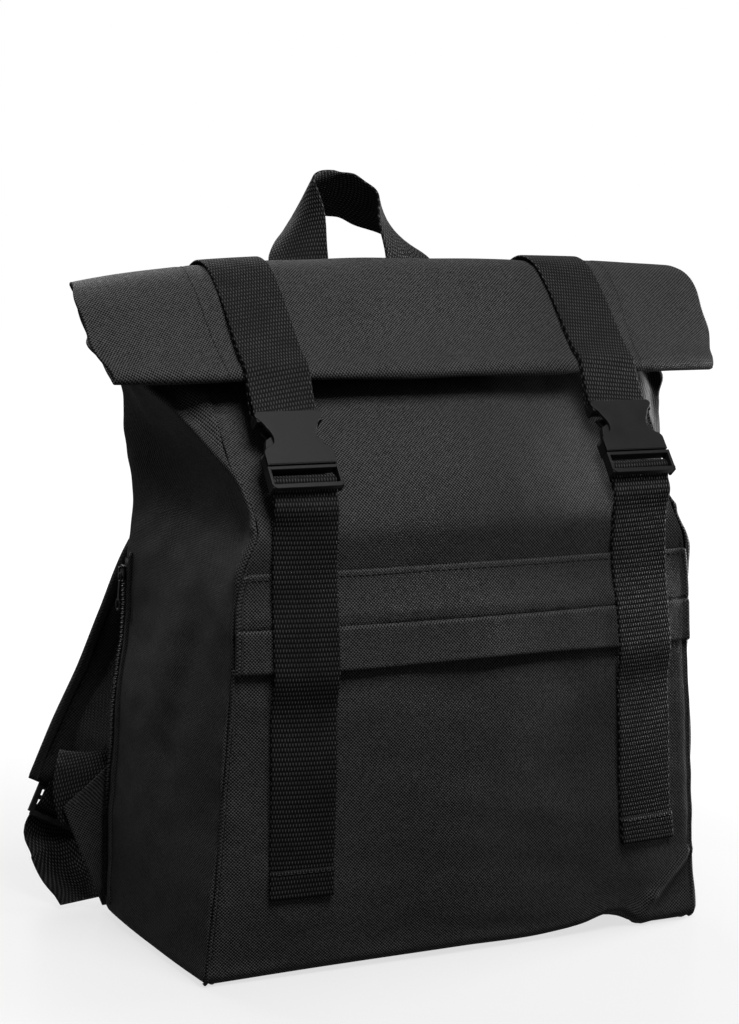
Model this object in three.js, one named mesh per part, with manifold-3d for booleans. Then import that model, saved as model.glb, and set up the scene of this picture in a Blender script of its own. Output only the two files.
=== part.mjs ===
// A rolltop backpack that stands on its base: a sewn bag whose flattened mouth is rolled forwards,
// two closure straps with side-release buckles, a front pocket under a flap, a side zip, a grab handle
// and two padded shoulder straps. Millimetres, +Z up, the front faces -Y, origin at the centre of the base.
import * as THREE from 'three';
import { mergeVertices } from 'three/addons/utils/BufferGeometryUtils.js';
import Module from 'manifold-3d';

const wasm = await Module();
wasm.setup();

// Driving dimensions
const bagWidth = 343;
const bagDepth = 179;
const neckHeight = 376;
const neckSetback = 50;
const neckLift = 0.8;
const neckSweep = 18;
const cloth = 2;
const gap = 0.3;
const cornerBlend = 9;
const baseBlend = 8;
const seamInset = 8;
const mouthSeamHalf = 147;
const rollHalf = 214;
const rollReach = 118;
const rollRise = 47.5;
const rollBand = 3;
const pocketHeight = 190;
const pocketFullness = 7;
const pocketCrest = 0.78;
const pocketEdge = 3;
const pocketLift = 1;
const flapTop = 245;
const flapDrop = 58;
const flapStandoff = 1.2;
const flapTuck = 0.45;
const strapWidth = 40;
const strapThickness = 1.6;
const strapOffset = 113;
const strapClearance = 0.5;
const backClearance = 0.9;
const sewnClearance = 0.2;
const leftTailEnd = 51;
const rightTailEnd = 59;
const rightTailDrift = 13;
const tailStandoff = 0.9;
const buckleTilt = THREE.MathUtils.degToRad(37);
const buckleHeight = 331;
const buckleStandoff = 15.5;
const buckleWidth = 45;
const buckleWaist = 27;
const wingTop = 3;
const wingDrop = 5.5;
const waistDrop = 16.5;
const footDrop = 23.5;
const socketLength = 33;
const socketThickness = 9.6;
const frameLength = 15.5;
const frameThickness = 7.4;
const frameLip = 3.2;
const frameBrow = 2.6;
const frameCorner = 3;
const cavityTop = 9;
const prongThickness = 4.2;
const slotClearance = 0.6;
const plate = 2.2;
const barRadius = 1.6;
const barGap = 0.45;
const barApproach = 4.5;
const tailBarDrop = 8.2;
const zipHigh = 233;
const zipLow = 12;
const zipWidth = 13;
const zipThickness = 0.8;
const zipBackEdge = 2;
const sliderLength = 10;
const sliderWidth = 8;
const sliderThickness = 3.4;
const sliderDrop = 9;
const pullLength = 24;
const pullThickness = 2;
const pullHalf = 2.6;
const zipHardwareShift = 4;
const handleSpacing = 80;
const handleRise = 105;
const handleSetback = 61;
const padWidth = 64;
const padThickness = 11;
const webWidth = 38;
const webThickness = 1.5;
const lockWidth = 46;
const lockThickness = 3;
const lockTop = 9;
const lockFoot = 13;
const lockChamfer = 3;
const tabThickness = 2.4;

const halfWidth = bagWidth / 2;
const halfDepth = bagDepth / 2;
const neckGapHalf = cloth + rollBand / 2 - 0.2;
const strapHalf = strapThickness / 2;
const barLoop = barRadius + barGap + strapHalf;
const buckleFace = -barRadius - 2 * barGap - strapThickness - plate;
const tailBar = -socketLength - tailBarDrop;

// A table from its column names and its rows.
function tableOf(columns, rows) {
  return rows.map((row) => Object.fromEntries(columns.map((name, i) => [name, row[i]])));
}

// The bag's outline at each height, from the base to the neck. `up` is a share of neckHeight, the half widths
// of halfWidth, the depths of halfDepth, and the bulges of halfDepth too, outwards where positive.
const neckFront = (neckGapHalf - neckSetback + neckSweep) / halfDepth;
const neckBack = (neckSetback + neckGapHalf - neckSweep) / halfDepth;
const neckBow = neckSweep / halfDepth;
const neckHalf = 1.07;
const bagSections = tableOf(
  ['up', 'frontHalf', 'front', 'backHalf', 'back', 'frontBulge', 'backBulge', 'sideBulge'],
  [
    [0.021, 1, 0.978, 1, 1, 0.034, 0.02, 0.02],
    [0.16, 0.97, 1.006, 0.98, 1.035, 0.056, 0.03, 0.05],
    [0.32, 0.942, 1.034, 0.95, 1.055, 0.067, 0.04, 0.06],
    [0.505, 0.913, 1.067, 0.91, 1.055, 0.067, 0.04, 0.04],
    [0.638, 0.892, 1.117, 0.882, 1.045, 0.045, 0.04, 0],
    [0.678, 0.862, 1.156, 0.878, 1.034, 0.034, 0.04, -0.02],
    [0.713, 0.83, 1.15, 0.878, 1.022, 0.06, 0.04, -0.04],
    [0.758, 0.83, 1.028, 0.884, 1, 0.13, 0.04, -0.06],
    [0.798, 0.852, 0.9, 0.898, 0.966, 0.17, 0.04, -0.06],
    [0.846, 0.92, 0.71, 0.925, 0.9, 0.19, 0.05, -0.04],
    [0.891, 0.985, 0.52, 0.945, 0.81, 0.18, 0.06, -0.03],
    [0.936, 1.06, 0.29, 0.98, 0.7, 0.16, 0.08, -0.02],
    [0.963, 1.07, -0.02, 1.01, 0.62, 0.18, 0.11, -0.01],
    [0.984, 1.07, -0.2, 1.04, 0.51, 0.04, 0.16, 0],
    [1, neckHalf, neckFront, neckHalf, neckBack, -neckBow, neckBow, 0],
  ],
);

// The roll's centre line from the neck, over the top, down the front, back underneath and round again.
// `forward` is a share of rollReach towards the front, `up` a share of rollRise above the neck and `wide`
// a share
// of rollHalf, narrower where the cloth leaves the neck.
const rollTurns = tableOf(
  ['forward', 'up', 'wide'],
  [
    [0, 0, 0.87],
    [-0.02, 0.32, 0.93],
    [0.05, 0.64, 0.975],
    [0.17, 0.87, 1],
    [0.32, 0.97, 1],
    [0.47, 0.89, 1],
    [0.62, 0.58, 0.995],
    [0.77, 0.1, 0.985],
    [0.9, -0.25, 0.975],
    [0.975, -0.4, 0.97],
    [0.985, -0.48, 0.965],
    [0.94, -0.5, 0.96],
    [0.88, -0.44, 0.955],
    [0.7, -0.27, 0.95],
    [0.45, -0.06, 0.94],
    [0.24, 0.06, 0.93],
    [0.13, 0.22, 0.93],
    [0.13, 0.46, 0.94],
    [0.22, 0.66, 0.95],
    [0.34, 0.72, 0.95],
    [0.5, 0.54, 0.95],
    [0.66, 0.2, 0.95],
    [0.8, -0.14, 0.95],
  ],
);
const rollOuterTurns = 11;
const strapDoubledFrom = 7;
const rollLowest = -0.5;
const rollEndShrink = 0.17;
const rollLeftDroop = 0.2;
const rollRightDroop = 0.08;
const rollMiddle = 0.35;

// Where a closure strap is sewn up the back, as shares of neckHeight.
const closureOnBack = [0.87, 0.891, 0.936, 0.963, 0.984, 0.998];

// Where a tail is sewn above the flap, and where it lies on the flap, in millimetres above and below the
// flap's top.
const tailAnchors = [4, 10, 23.5];
const tailOnFlap = [2, 17, 33, 47, flapDrop + 2];
const tailOnPocket = [0, 0.3, 0.6, 0.8, 1];
const flapStep = 22;

// A tail's way past the buckle frame's bar, in millimetres: behind the bar's axis and below it.
const tailBehindBar = tableOf(
  ['behind', 'below'],
  [
    [6.2, 17],
    [4.4, 7],
  ],
);
const tailBeforeBar = tableOf(
  ['behind', 'below'],
  [
    [-1.2, 4.2],
    [1.6, 8.5],
    [2.9, 14],
  ],
);

// One prong of the buckle from its root to its tip: in from the frame's side in millimetres, and down from the
// bar as a share of socketLength.
const prongOutline = tableOf(
  ['inwards', 'down'],
  [
    [6.9, 1.05],
    [4.2, 0.833],
    [3.2, 0.667],
    [4.6, 0.417],
    [9.3, 0.361],
    [10.5, 0.556],
    [10.5, 1.05],
  ],
);

const rollShares = [-1, -0.93, -0.8, -0.64, -0.54, -0.44, -0.2, 0, 0.2, 0.44, 0.54, 0.64, 0.8, 0.93, 1];

// The left and right halves of the grab handle, each from its top to where it is sewn. `out` is a share of half
// its spacing, `back` and `up` of handleRise from its foot; `turn` is the webbing's own turn in degrees, flat to
// the bag at 0.
const handleColumns = ['out', 'back', 'up', 'turn'];
const handleLeft = tableOf(
  handleColumns,
  [
    [0, 0.38, 0.875, 88],
    [0.2, 0.35, 0.885, 88],
    [0.5, 0.31, 0.875, 88],
    [0.7, 0.26, 0.835, 84],
    [0.8, 0.2, 0.75, 68],
    [0.86, 0.15, 0.66, 52],
    [0.97, 0.07, 0.5, 27],
    [1, 0.02, 0.4, 8],
    [1, 0, 0.25, 0],
    [1, 0, 0.1, 0],
  ],
);
const handleRight = tableOf(
  handleColumns,
  [
    [0, 0.38, 0.875, 88],
    [0.24, 0.37, 0.865, 87],
    [0.44, 0.35, 0.82, 84],
    [0.69, 0.27, 0.76, 75],
    [0.91, 0.15, 0.58, 52],
    [1.03, 0.05, 0.41, 28],
    [1.02, 0.01, 0.27, 10],
    [1, 0, 0.1, 0],
  ],
);

// Where each end of the handle is sewn to the back, as shares of neckHeight.
const handleOnBack = [0.965, 0.92];
const handleLean = THREE.MathUtils.degToRad(45);

// The left shoulder pad's centre line from the back panel to its lower end, as shares of halfWidth, halfDepth
// and neckHeight; `yaw` turns its width towards the front in degrees and `full` is a share of its thickness.
const padStations = tableOf(
  ['out', 'back', 'up', 'yaw', 'full'],
  [
    [0.32, 0.965, 0.856, 0, 0.5],
    [0.32, 1.08, 0.81, 0, 0.7],
    [0.41, 1.24, 0.755, 0, 0.9],
    [0.51, 1.44, 0.69, 2, 1],
    [0.61, 1.6, 0.6, 4, 1],
    [0.71, 1.68, 0.48, 6, 1],
    [0.81, 1.68, 0.372, 6, 1],
    [0.93, 1.64, 0.27, 6, 1],
    [1.03, 1.59, 0.181, 6, 0.5],
  ],
);

// Where the adjuster webbing of the left shoulder strap runs from its tab to the lock, in the same shares.
const adjusterRise = tableOf(
  ['out', 'back', 'up'],
  [
    [1.04, 1.1, 0.165],
    [1.06, 1.12, 0.215],
    [1.03, 1.19, 0.25],
    [1, 1.3, 0.268],
    [1, 1.4, 0.25],
  ],
);

// The lock's two windows, above and below its middle bar, in millimetres.
const lockWindows = tableOf(
  ['low', 'high'],
  [
    [-9.5, -1.5],
    [1.5, 5.5],
  ],
);

// Its way through the lock, in millimetres: how far behind the lock and how far above the lock's middle bar.
const adjusterInLock = tableOf(
  ['behind', 'above'],
  [
    [-9, 18],
    [-5.2, 10],
    [-3.4, 5.5],
    [-2.8, 1.5],
    [-2.8, -1.5],
    [-1.4, -4.2],
    [1.4, -6.8],
    [3.5, -9.5],
    [4.5, -13],
    [5.2, -19],
  ],
);

// And from the lock to the floor.
const adjusterTail = tableOf(
  ['out', 'back', 'up'],
  [
    [1.09, 1.56, 0.09],
    [1.07, 1.46, 0.055],
    [1.04, 1.33, 0.028],
    [1.03, 1.2, 0.012],
  ],
);

// The cloth tab that holds the adjuster webbing, sewn at the foot of the side: how far it reaches at each
// height.
const tabReaches = tableOf(
  ['up', 'out'],
  [
    [0.011, 1],
    [0.08, 1.055],
    [0.16, 1.12],
    [0.19, 1.143],
    [0.223, 1.05],
    [0.253, 0.965],
  ],
);
const tabRoot = 0.87;

// One row of a table at a value of its key column, between its neighbours.
function rowAt(table, key, value) {
  let i = table.findIndex((row) => row[key] >= value);
  if (i < 0) i = table.length - 1;
  if (i === 0) i = 1;
  const low = table[i - 1];
  const high = table[i];
  const share = (value - low[key]) / (high[key] - low[key]);
  const row = {};
  for (const name of Object.keys(low)) row[name] = low[name] + (high[name] - low[name]) * share;
  return row;
}

// The bag's half widths, depths and bulges in millimetres at a height.
function sectionAt(z) {
  const row = rowAt(bagSections, 'up', z / neckHeight);
  return {
    frontHalf: row.frontHalf * halfWidth,
    frontY: -row.front * halfDepth,
    backHalf: row.backHalf * halfWidth,
    backY: row.back * halfDepth,
    frontBulge: row.frontBulge * halfDepth,
    backBulge: row.backBulge * halfDepth,
    sideBulge: row.sideBulge * halfDepth,
  };
}

function frontY(x, z) {
  const s = sectionAt(z);
  return s.frontY - s.frontBulge * Math.max(0, 1 - (x / s.frontHalf) ** 2);
}

function backY(x, z) {
  const s = sectionAt(z);
  return s.backY + s.backBulge * Math.max(0, 1 - (x / s.backHalf) ** 2);
}

function seamHalf(half) {
  return Math.min(half - seamInset - cornerBlend / 2, mouthSeamHalf);
}

// An indexed geometry whose faces point out, whichever way its list of faces ran.
function facingOut(positions, faces) {
  let volume = 0;
  const a = new THREE.Vector3();
  const b = new THREE.Vector3();
  const c = new THREE.Vector3();
  for (let i = 0; i < faces.length; i += 3) {
    a.fromArray(positions, faces[i] * 3);
    b.fromArray(positions, faces[i + 1] * 3);
    c.fromArray(positions, faces[i + 2] * 3);
    volume += a.dot(b.cross(c));
  }
  if (volume < 0) {
    for (let i = 0; i < faces.length; i += 3) [faces[i + 1], faces[i + 2]] = [faces[i + 2], faces[i + 1]];
  }
  const geometry = new THREE.BufferGeometry();
  geometry.setAttribute('position', new THREE.Float32BufferAttribute(positions, 3));
  geometry.setIndex(faces);
  return geometry;
}

// Joins a grid of points to a second grid behind it as one closed sheet.
function closedSheet(outer, inner) {
  const rows = outer.length;
  const columns = outer[0].length;
  const positions = [];
  for (const grid of [outer, inner]) {
    for (const row of grid) for (const p of row) positions.push(p.x, p.y, p.z);
  }
  const at = (side, i, j) => side * rows * columns + i * columns + j;
  const faces = [];
  const quad = (a, b, c, d) => faces.push(a, b, c, a, c, d);
  for (let i = 0; i < rows - 1; i++) {
    for (let j = 0; j < columns - 1; j++) {
      quad(at(0, i, j), at(0, i, j + 1), at(0, i + 1, j + 1), at(0, i + 1, j));
      quad(at(1, i, j), at(1, i + 1, j), at(1, i + 1, j + 1), at(1, i, j + 1));
    }
  }
  for (let j = 0; j < columns - 1; j++) {
    quad(at(0, 0, j), at(1, 0, j), at(1, 0, j + 1), at(0, 0, j + 1));
    quad(at(0, rows - 1, j), at(0, rows - 1, j + 1), at(1, rows - 1, j + 1), at(1, rows - 1, j));
  }
  const last = columns - 1;
  for (let i = 0; i < rows - 1; i++) {
    quad(at(0, i, 0), at(0, i + 1, 0), at(1, i + 1, 0), at(1, i, 0));
    quad(at(0, i, last), at(1, i, last), at(1, i + 1, last), at(0, i + 1, last));
  }
  return facingOut(positions, faces);
}

// Unit normals of a grid of points, from its neighbours; a closed grid's columns wrap round.
function gridNormals(grid, closed) {
  const rows = grid.length;
  const columns = grid[0].length;
  return grid.map((row, i) => row.map((p, j) => {
    const below = grid[Math.max(i - 1, 0)][j];
    const above = grid[Math.min(i + 1, rows - 1)][j];
    const before = closed ? row[(j + columns - 1) % columns] : row[Math.max(j - 1, 0)];
    const after = closed ? row[(j + 1) % columns] : row[Math.min(j + 1, columns - 1)];
    return after.clone().sub(before).cross(above.clone().sub(below)).normalize();
  }));
}

function offsetGrid(grid, normals, distance) {
  return grid.map((row, i) => row.map((p, j) => p.clone().addScaledVector(normals[i][j], distance)));
}

// Unit normals of an open line of points in a plane, on its left as it runs.
function lineNormals(points) {
  return points.map((p, i) => {
    const before = points[Math.max(i - 1, 0)];
    const after = points[Math.min(i + 1, points.length - 1)];
    return new THREE.Vector2(-(after.y - before.y), after.x - before.x).normalize();
  });
}

// Webbing whose columns are lines of points side by side, thickened across them.
function webbing(columns, thickness) {
  const grid = columns[0].map((p, i) => columns.map((line) => line[i]));
  const normals = gridNormals(grid, false);
  return closedSheet(offsetGrid(grid, normals, thickness / 2), offsetGrid(grid, normals, -thickness / 2));
}

// A band along stations with a point, a direction across and a share of the thickness; `profile` shapes
// its section.
const flatProfile = [{ along: -0.5, thick: 1 }, { along: 0.5, thick: 1 }];
const padProfile = [
  { along: -0.5, thick: 0.3 },
  { along: -0.44, thick: 0.85 },
  { along: -0.25, thick: 1 },
  { along: 0.25, thick: 1 },
  { along: 0.44, thick: 0.85 },
  { along: 0.5, thick: 0.3 },
];

function ribbon(stations, width, thickness, profile) {
  const frames = stations.map((station, i) => {
    const before = stations[Math.max(i - 1, 0)].at;
    const after = stations[Math.min(i + 1, stations.length - 1)].at;
    const run = after.clone().sub(before).normalize();
    const across = station.across.clone().addScaledVector(run, -station.across.dot(run)).normalize();
    return { at: station.at, across, normal: across.clone().cross(run), full: station.full ?? 1 };
  });
  const face = (side) => frames.map((frame) => profile.map((column) => frame.at.clone()
    .addScaledVector(frame.across, column.along * width)
    .addScaledVector(frame.normal, side * column.thick * frame.full * thickness / 2)));
  return closedSheet(face(1), face(-1));
}

function solidOf(geometry) {
  const plain = geometry.clone();
  plain.deleteAttribute('normal');
  plain.deleteAttribute('uv');
  const merged = mergeVertices(plain, 1e-4);
  return new wasm.Manifold(new wasm.Mesh({
    numProp: 3,
    vertProperties: new Float32Array(merged.attributes.position.array),
    triVerts: new Uint32Array(merged.index.array),
  }));
}

function geometryOf(solid) {
  const mesh = solid.getMesh();
  const geometry = new THREE.BufferGeometry();
  geometry.setAttribute('position', new THREE.Float32BufferAttribute(mesh.vertProperties, 3));
  geometry.setIndex(Array.from(mesh.triVerts));
  return geometry;
}

function subtract(geometry, ...cutters) {
  let solid = solidOf(geometry);
  for (const cutter of cutters) solid = solid.subtract(solidOf(cutter));
  return geometryOf(solid);
}

function join(...geometries) {
  let solid = solidOf(geometries[0]);
  for (const geometry of geometries.slice(1)) solid = solid.add(solidOf(geometry));
  return geometryOf(solid);
}

function box(x0, x1, y0, y1, z0, z1) {
  const geometry = new THREE.BoxGeometry(x1 - x0, y1 - y0, z1 - z0);
  return geometry.translate((x0 + x1) / 2, (y0 + y1) / 2, (z0 + z1) / 2);
}

// The same piece on the other side of the bag.
function mirrored(geometry) {
  const source = geometry.index ? geometry : mergeVertices(geometry, 1e-4);
  const positions = Array.from(source.attributes.position.array);
  for (let i = 0; i < positions.length; i += 3) positions[i] = -positions[i];
  return facingOut(positions, Array.from(source.index.array));
}

// An outline in the XZ plane given depth along Y, from `from` to `to`.
function plateOf(shape, from, to, curveSegments = 5) {
  const geometry = new THREE.ExtrudeGeometry(shape, { depth: to - from, bevelEnabled: false, curveSegments });
  return geometry.rotateX(Math.PI / 2).translate(0, to, 0);
}

// The ring of columns round the bag: between the seams on the front, the right gusset, the back, the left
// gusset.
const frontShares = [-1, -0.8, -0.6, -0.4, -0.2, 0, 0.2, 0.4, 0.6, 0.8, 1];
const betweenSeams = frontShares.slice(1, -1);
const sideShares = [0.25, 0.5, 0.75];
const cornerShares = [0.25, 0.5, 0.75];

// The right gusset's outline at a height, from its front seam to its back seam; `inset` draws it in at
// the base.
function gussetOutline(z, inset) {
  const s = sectionAt(z);
  const frontHalf = s.frontHalf - inset;
  const backHalf = s.backHalf - inset;
  const front = s.frontY + inset;
  const back = s.backY - inset;
  const blend = Math.min(cornerBlend, (back - front) * 0.45);
  const reach = blend / (back - front);
  const onFront = (x) => new THREE.Vector2(x, front - s.frontBulge * (1 - (x / frontHalf) ** 2));
  const onBack = (x) => new THREE.Vector2(x, back + s.backBulge * (1 - (x / backHalf) ** 2));
  const onSide = (share) => new THREE.Vector2(
    frontHalf + (backHalf - frontHalf) * share + s.sideBulge * 4 * share * (1 - share),
    front + (back - front) * share,
  );
  const rounded = (from, corner, to) => cornerShares.map((t) => new THREE.Vector2(
    (1 - t) ** 2 * from.x + 2 * t * (1 - t) * corner.x + t * t * to.x,
    (1 - t) ** 2 * from.y + 2 * t * (1 - t) * corner.y + t * t * to.y,
  ));
  const sideStart = onSide(reach);
  const sideEnd = onSide(1 - reach);
  const frontCorner = new THREE.Vector2(frontHalf, front);
  const backCorner = new THREE.Vector2(backHalf, back);
  return [
    onFront(seamHalf(frontHalf)),
    onFront(frontHalf - blend),
    ...rounded(onFront(frontHalf - blend), frontCorner, sideStart),
    sideStart,
    ...sideShares.map((share) => onSide(reach + (1 - 2 * reach) * share)),
    sideEnd,
    ...rounded(sideEnd, backCorner, onBack(backHalf - blend)),
    onBack(backHalf - blend),
    onBack(seamHalf(backHalf)),
  ];
}

function ringAt(z, inset, height) {
  const right = gussetOutline(z, inset);
  const left = right.map((p) => new THREE.Vector2(-p.x, p.y)).reverse();
  const s = sectionAt(z);
  const frontHalf = s.frontHalf - inset;
  const backHalf = s.backHalf - inset;
  const front = betweenSeams.map((share) => {
    const x = share * seamHalf(frontHalf);
    return new THREE.Vector2(x, s.frontY + inset - s.frontBulge * (1 - (x / frontHalf) ** 2));
  });
  const back = betweenSeams.map((share) => {
    const x = -share * seamHalf(backHalf);
    return new THREE.Vector2(x, s.backY - inset + s.backBulge * (1 - (x / backHalf) ** 2));
  });
  return [...front, ...right, ...back, ...left].map((p) => new THREE.Vector3(p.x, p.y, height));
}

const curlAngles = [0, 30, 60].map((degrees) => THREE.MathUtils.degToRad(degrees));
const curlRings = curlAngles.map((angle) => ringAt(
  baseBlend, baseBlend * (1 - Math.sin(angle)), baseBlend * (1 - Math.cos(angle)),
));
const wallRings = bagSections.map((row) => ringAt(row.up * neckHeight, 0, row.up * neckHeight));
const outerRing = [...curlRings, ...wallRings];
const innerRing = offsetGrid(outerRing, gridNormals(outerRing, true), -cloth);
const ringColumns = outerRing[0].length;
const frontColumns = betweenSeams.length;
const gussetColumns = gussetOutline(baseBlend, 0).length;

// One panel of the bag between two seams, drawn in at both by half the seam's gap.
function bagPanel(start, count) {
  const columnsOf = (grid) => grid.map((row) => {
    const points = [];
    for (let k = 0; k < count; k++) points.push(row[(start + k + ringColumns) % ringColumns].clone());
    const first = points[0];
    const last = points[count - 1];
    first.addScaledVector(points[1].clone().sub(first).normalize(), gap / 2);
    last.addScaledVector(points[count - 2].clone().sub(last).normalize(), gap / 2);
    return points;
  });
  return closedSheet(columnsOf(outerRing), columnsOf(innerRing));
}

// The flat base inside the curl of the walls.
function basePanel() {
  const outline = ringAt(baseBlend, baseBlend + gap + cloth / 2, 0);
  const shape = new THREE.Shape(outline.map((p) => new THREE.Vector2(p.x, p.y)));
  return new THREE.ExtrudeGeometry(shape, { depth: cloth, bevelEnabled: false });
}

// The roll's centre line at a place along it, drawn in at the front and drooping at the top towards both
// ends.
function rollPoint(row, x) {
  const end = Math.min(1, Math.abs(x) / rollHalf) ** 3;
  const sweep = neckSweep * Math.min(1, x / (neckHalf * halfWidth)) ** 2;
  const middle = neckSetback - rollReach * rollMiddle;
  const y = neckSetback - row.forward * rollReach;
  const drawnIn = y < middle ? 1 - rollEndShrink * end : 1 - sweep / (neckSetback - middle);
  const droop = 1 - (x < 0 ? rollLeftDroop : rollRightDroop) * end * Math.max(0, row.up);
  return new THREE.Vector2(
    middle + (y - middle) * drawnIn,
    neckHeight + neckLift + rollBand / 2 + rollRise * (rollLowest + (row.up - rollLowest) * droop),
  );
}

function rolledMouth() {
  const columns = rollShares.map((share) => {
    return rollTurns.map((row) => {
      const x = share * rollHalf * row.wide;
      const p = rollPoint(row, x);
      return new THREE.Vector3(x, p.x, p.y);
    });
  });
  return webbing(columns, rollBand);
}

// The front pocket's outer face: sewn to the front panel at its sides and foot, and standing off it between.
const pocketFoot = baseBlend + pocketLift;

function pocketHalf(z) {
  return sectionAt(z).frontHalf - pocketEdge;
}

function pocketY(x, z) {
  const across = Math.max(0, 1 - (x / pocketHalf(z)) ** 2);
  const rise = Math.max(0, (z - pocketFoot) / (pocketHeight - pocketFoot));
  return frontY(x, z) - gap - cloth - pocketFullness * across * Math.sin(Math.PI * pocketCrest * rise);
}

// The flap's outer face: on the front panel at its top edge and over the pocket's mouth lower down.
function flapY(x, z) {
  const over = Math.min(1, (flapTop - z) / flapDrop / flapTuck);
  const top = frontY(x, z) - gap - cloth;
  const low = pocketY(x, Math.min(z, pocketHeight)) - gap - cloth - flapStandoff;
  return Math.min(top, top + (low - top) * over);
}

const pocketRows = [0, 0.12, 0.28, 0.48, 0.67, 0.84, 1].map((share) => (
  pocketFoot + (pocketHeight - pocketFoot) * share));
const flapRows = [1, 0.86, 0.7, 0.55, 0.38, 0.2, 0].map((share) => flapTop - flapDrop * share);

function frontSheet(faceY, heights) {
  const face = heights.map((z) => frontShares.map((share) => {
    const x = share * pocketHalf(z);
    return new THREE.Vector3(x, faceY(x, z), z);
  }));
  const back = face.map((row) => row.map((p) => new THREE.Vector3(p.x, p.y + cloth, p.z)));
  return closedSheet(face, back);
}

// The buckle's own frame hangs by its bar: local z runs up the strap and local -y faces out.
const buckleBar = new THREE.Vector2(frontY(strapOffset, buckleHeight - 4) - buckleStandoff, buckleHeight);

function onBuckle(y, z) {
  const cos = Math.cos(buckleTilt);
  const sin = Math.sin(buckleTilt);
  return new THREE.Vector2(buckleBar.x + y * cos + z * sin, buckleBar.y - y * sin + z * cos);
}

// Points half way round a bar of the buckle, from one angle to another in degrees.
function roundBar(z, from, to) {
  const points = [];
  for (let i = 0; i <= 6; i++) {
    const angle = THREE.MathUtils.degToRad(from + (to - from) * i / 6);
    points.push(onBuckle(barLoop * Math.cos(angle), z + barLoop * Math.sin(angle)));
  }
  return points;
}

// A closure strap at one x: sewn to the back, over the roll, round the socket's bar and back up behind
// itself.
function closureLine(x) {
  const roll = rollTurns.slice(0, rollOuterTurns).map((row) => rollPoint(row, x));
  const normals = lineNormals(roll);
  const onRoll = rollBand / 2 + strapClearance + strapHalf;
  const off = (i, distance) => roll[i].clone().addScaledVector(normals[i], -distance);
  const line = closureOnBack.map((share) => new THREE.Vector2(
    backY(x, share * neckHeight) + backClearance + strapHalf, share * neckHeight,
  ));
  for (let i = 1; i < roll.length; i++) {
    line.push(off(i, i >= strapDoubledFrom ? onRoll + strapThickness + gap : onRoll));
  }
  line.push(onBuckle(-barLoop, barApproach), ...roundBar(0, 180, 360));
  for (let i = roll.length - 1; i >= strapDoubledFrom; i--) line.push(off(i, onRoll));
  return line;
}

function closureStrap(centre) {
  const columns = [-0.5, 0, 0.5].map((share) => {
    const x = centre + share * strapWidth;
    return closureLine(x).map((p) => new THREE.Vector3(x, p.x, p.y));
  });
  return webbing(columns, strapThickness);
}

// A lower strap at one x: sewn above the flap, up behind the frame, over its bar and down as a free tail.
const anchorHeights = tailAnchors.map((above) => flapTop + above);

function tailLine(x, end, drift) {
  const lane = (z) => x + drift * Math.min(1, Math.max(0, (flapTop - z) / (flapTop - end)));
  const pastBar = (table) => table.map((row) => onBuckle(row.behind, tailBar - row.below));
  const line = anchorHeights.map((z) => new THREE.Vector3(x, frontY(x, z) - strapClearance - strapHalf, z));
  const onFrame = [...pastBar(tailBehindBar), ...roundBar(tailBar, 0, 180), ...pastBar(tailBeforeBar)];
  line.push(...onFrame.map((p) => new THREE.Vector3(x, p.x, p.y)));
  const overAnchor = anchorHeights[2] + 2 * strapThickness;
  const anchorStack = strapClearance + 2 * strapThickness + strapHalf;
  line.push(new THREE.Vector3(x, frontY(x, overAnchor) - anchorStack, overAnchor));
  for (const below of tailOnFlap) {
    const z = flapTop - below;
    line.push(new THREE.Vector3(lane(z), flapY(lane(z), z) - tailStandoff - strapHalf, z));
  }
  const low = flapTop - flapDrop - flapStep;
  for (const share of tailOnPocket) {
    const z = low + (end - low) * share;
    line.push(new THREE.Vector3(lane(z), pocketY(lane(z), z) - tailStandoff - strapHalf, z));
  }
  return line;
}

function tailStrap(centre, end, drift) {
  const columns = [-0.5, 0, 0.5].map((share) => tailLine(centre + share * strapWidth, end, drift));
  return webbing(columns, strapThickness);
}

// A side-release buckle's socket: a flat waisted case, open below, whose bar carries the closure strap.
const slotHalf = strapWidth / 2 + slotClearance;

function buckleSocket() {
  const half = buckleWidth / 2;
  const waist = buckleWaist / 2;
  const wing = wingTop - wingDrop;
  const shape = new THREE.Shape();
  shape.moveTo(-half + 1, wingTop);
  shape.lineTo(half - 1, wingTop);
  shape.quadraticCurveTo(half + 0.4, wingTop - 2.4, half - 2, wing);
  shape.bezierCurveTo(half - 5, wing - 4, waist + 0.5, wing - 7.5, waist, -waistDrop);
  shape.bezierCurveTo(waist + 1, -waistDrop - 4, half - 4, -footDrop + 3.5, half, -footDrop);
  shape.lineTo(half, -socketLength);
  shape.lineTo(-half, -socketLength);
  shape.lineTo(-half, -footDrop);
  shape.bezierCurveTo(-half + 4, -footDrop + 3.5, -waist - 1, -waistDrop - 4, -waist, -waistDrop);
  shape.bezierCurveTo(-waist - 0.5, wing - 7.5, -half + 5, wing - 4, -half + 2, wing);
  shape.quadraticCurveTo(-half - 0.4, wingTop - 2.4, -half + 1, wingTop);
  const back = buckleFace + socketThickness;
  const inside = half - plate - gap;
  const slotFoot = -barLoop - strapThickness - 1;
  const slot = box(-slotHalf, slotHalf, buckleFace + plate, back + 1, slotFoot, wingTop + 1);
  const cavity = box(-inside, inside, buckleFace + plate, back - plate, -socketLength - 1, -cavityTop);
  const bar = new THREE.CylinderGeometry(barRadius, barRadius, 2 * slotHalf + 2, 10).rotateZ(Math.PI / 2);
  return join(subtract(plateOf(shape, buckleFace, back), slot, cavity), bar);
}

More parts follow.
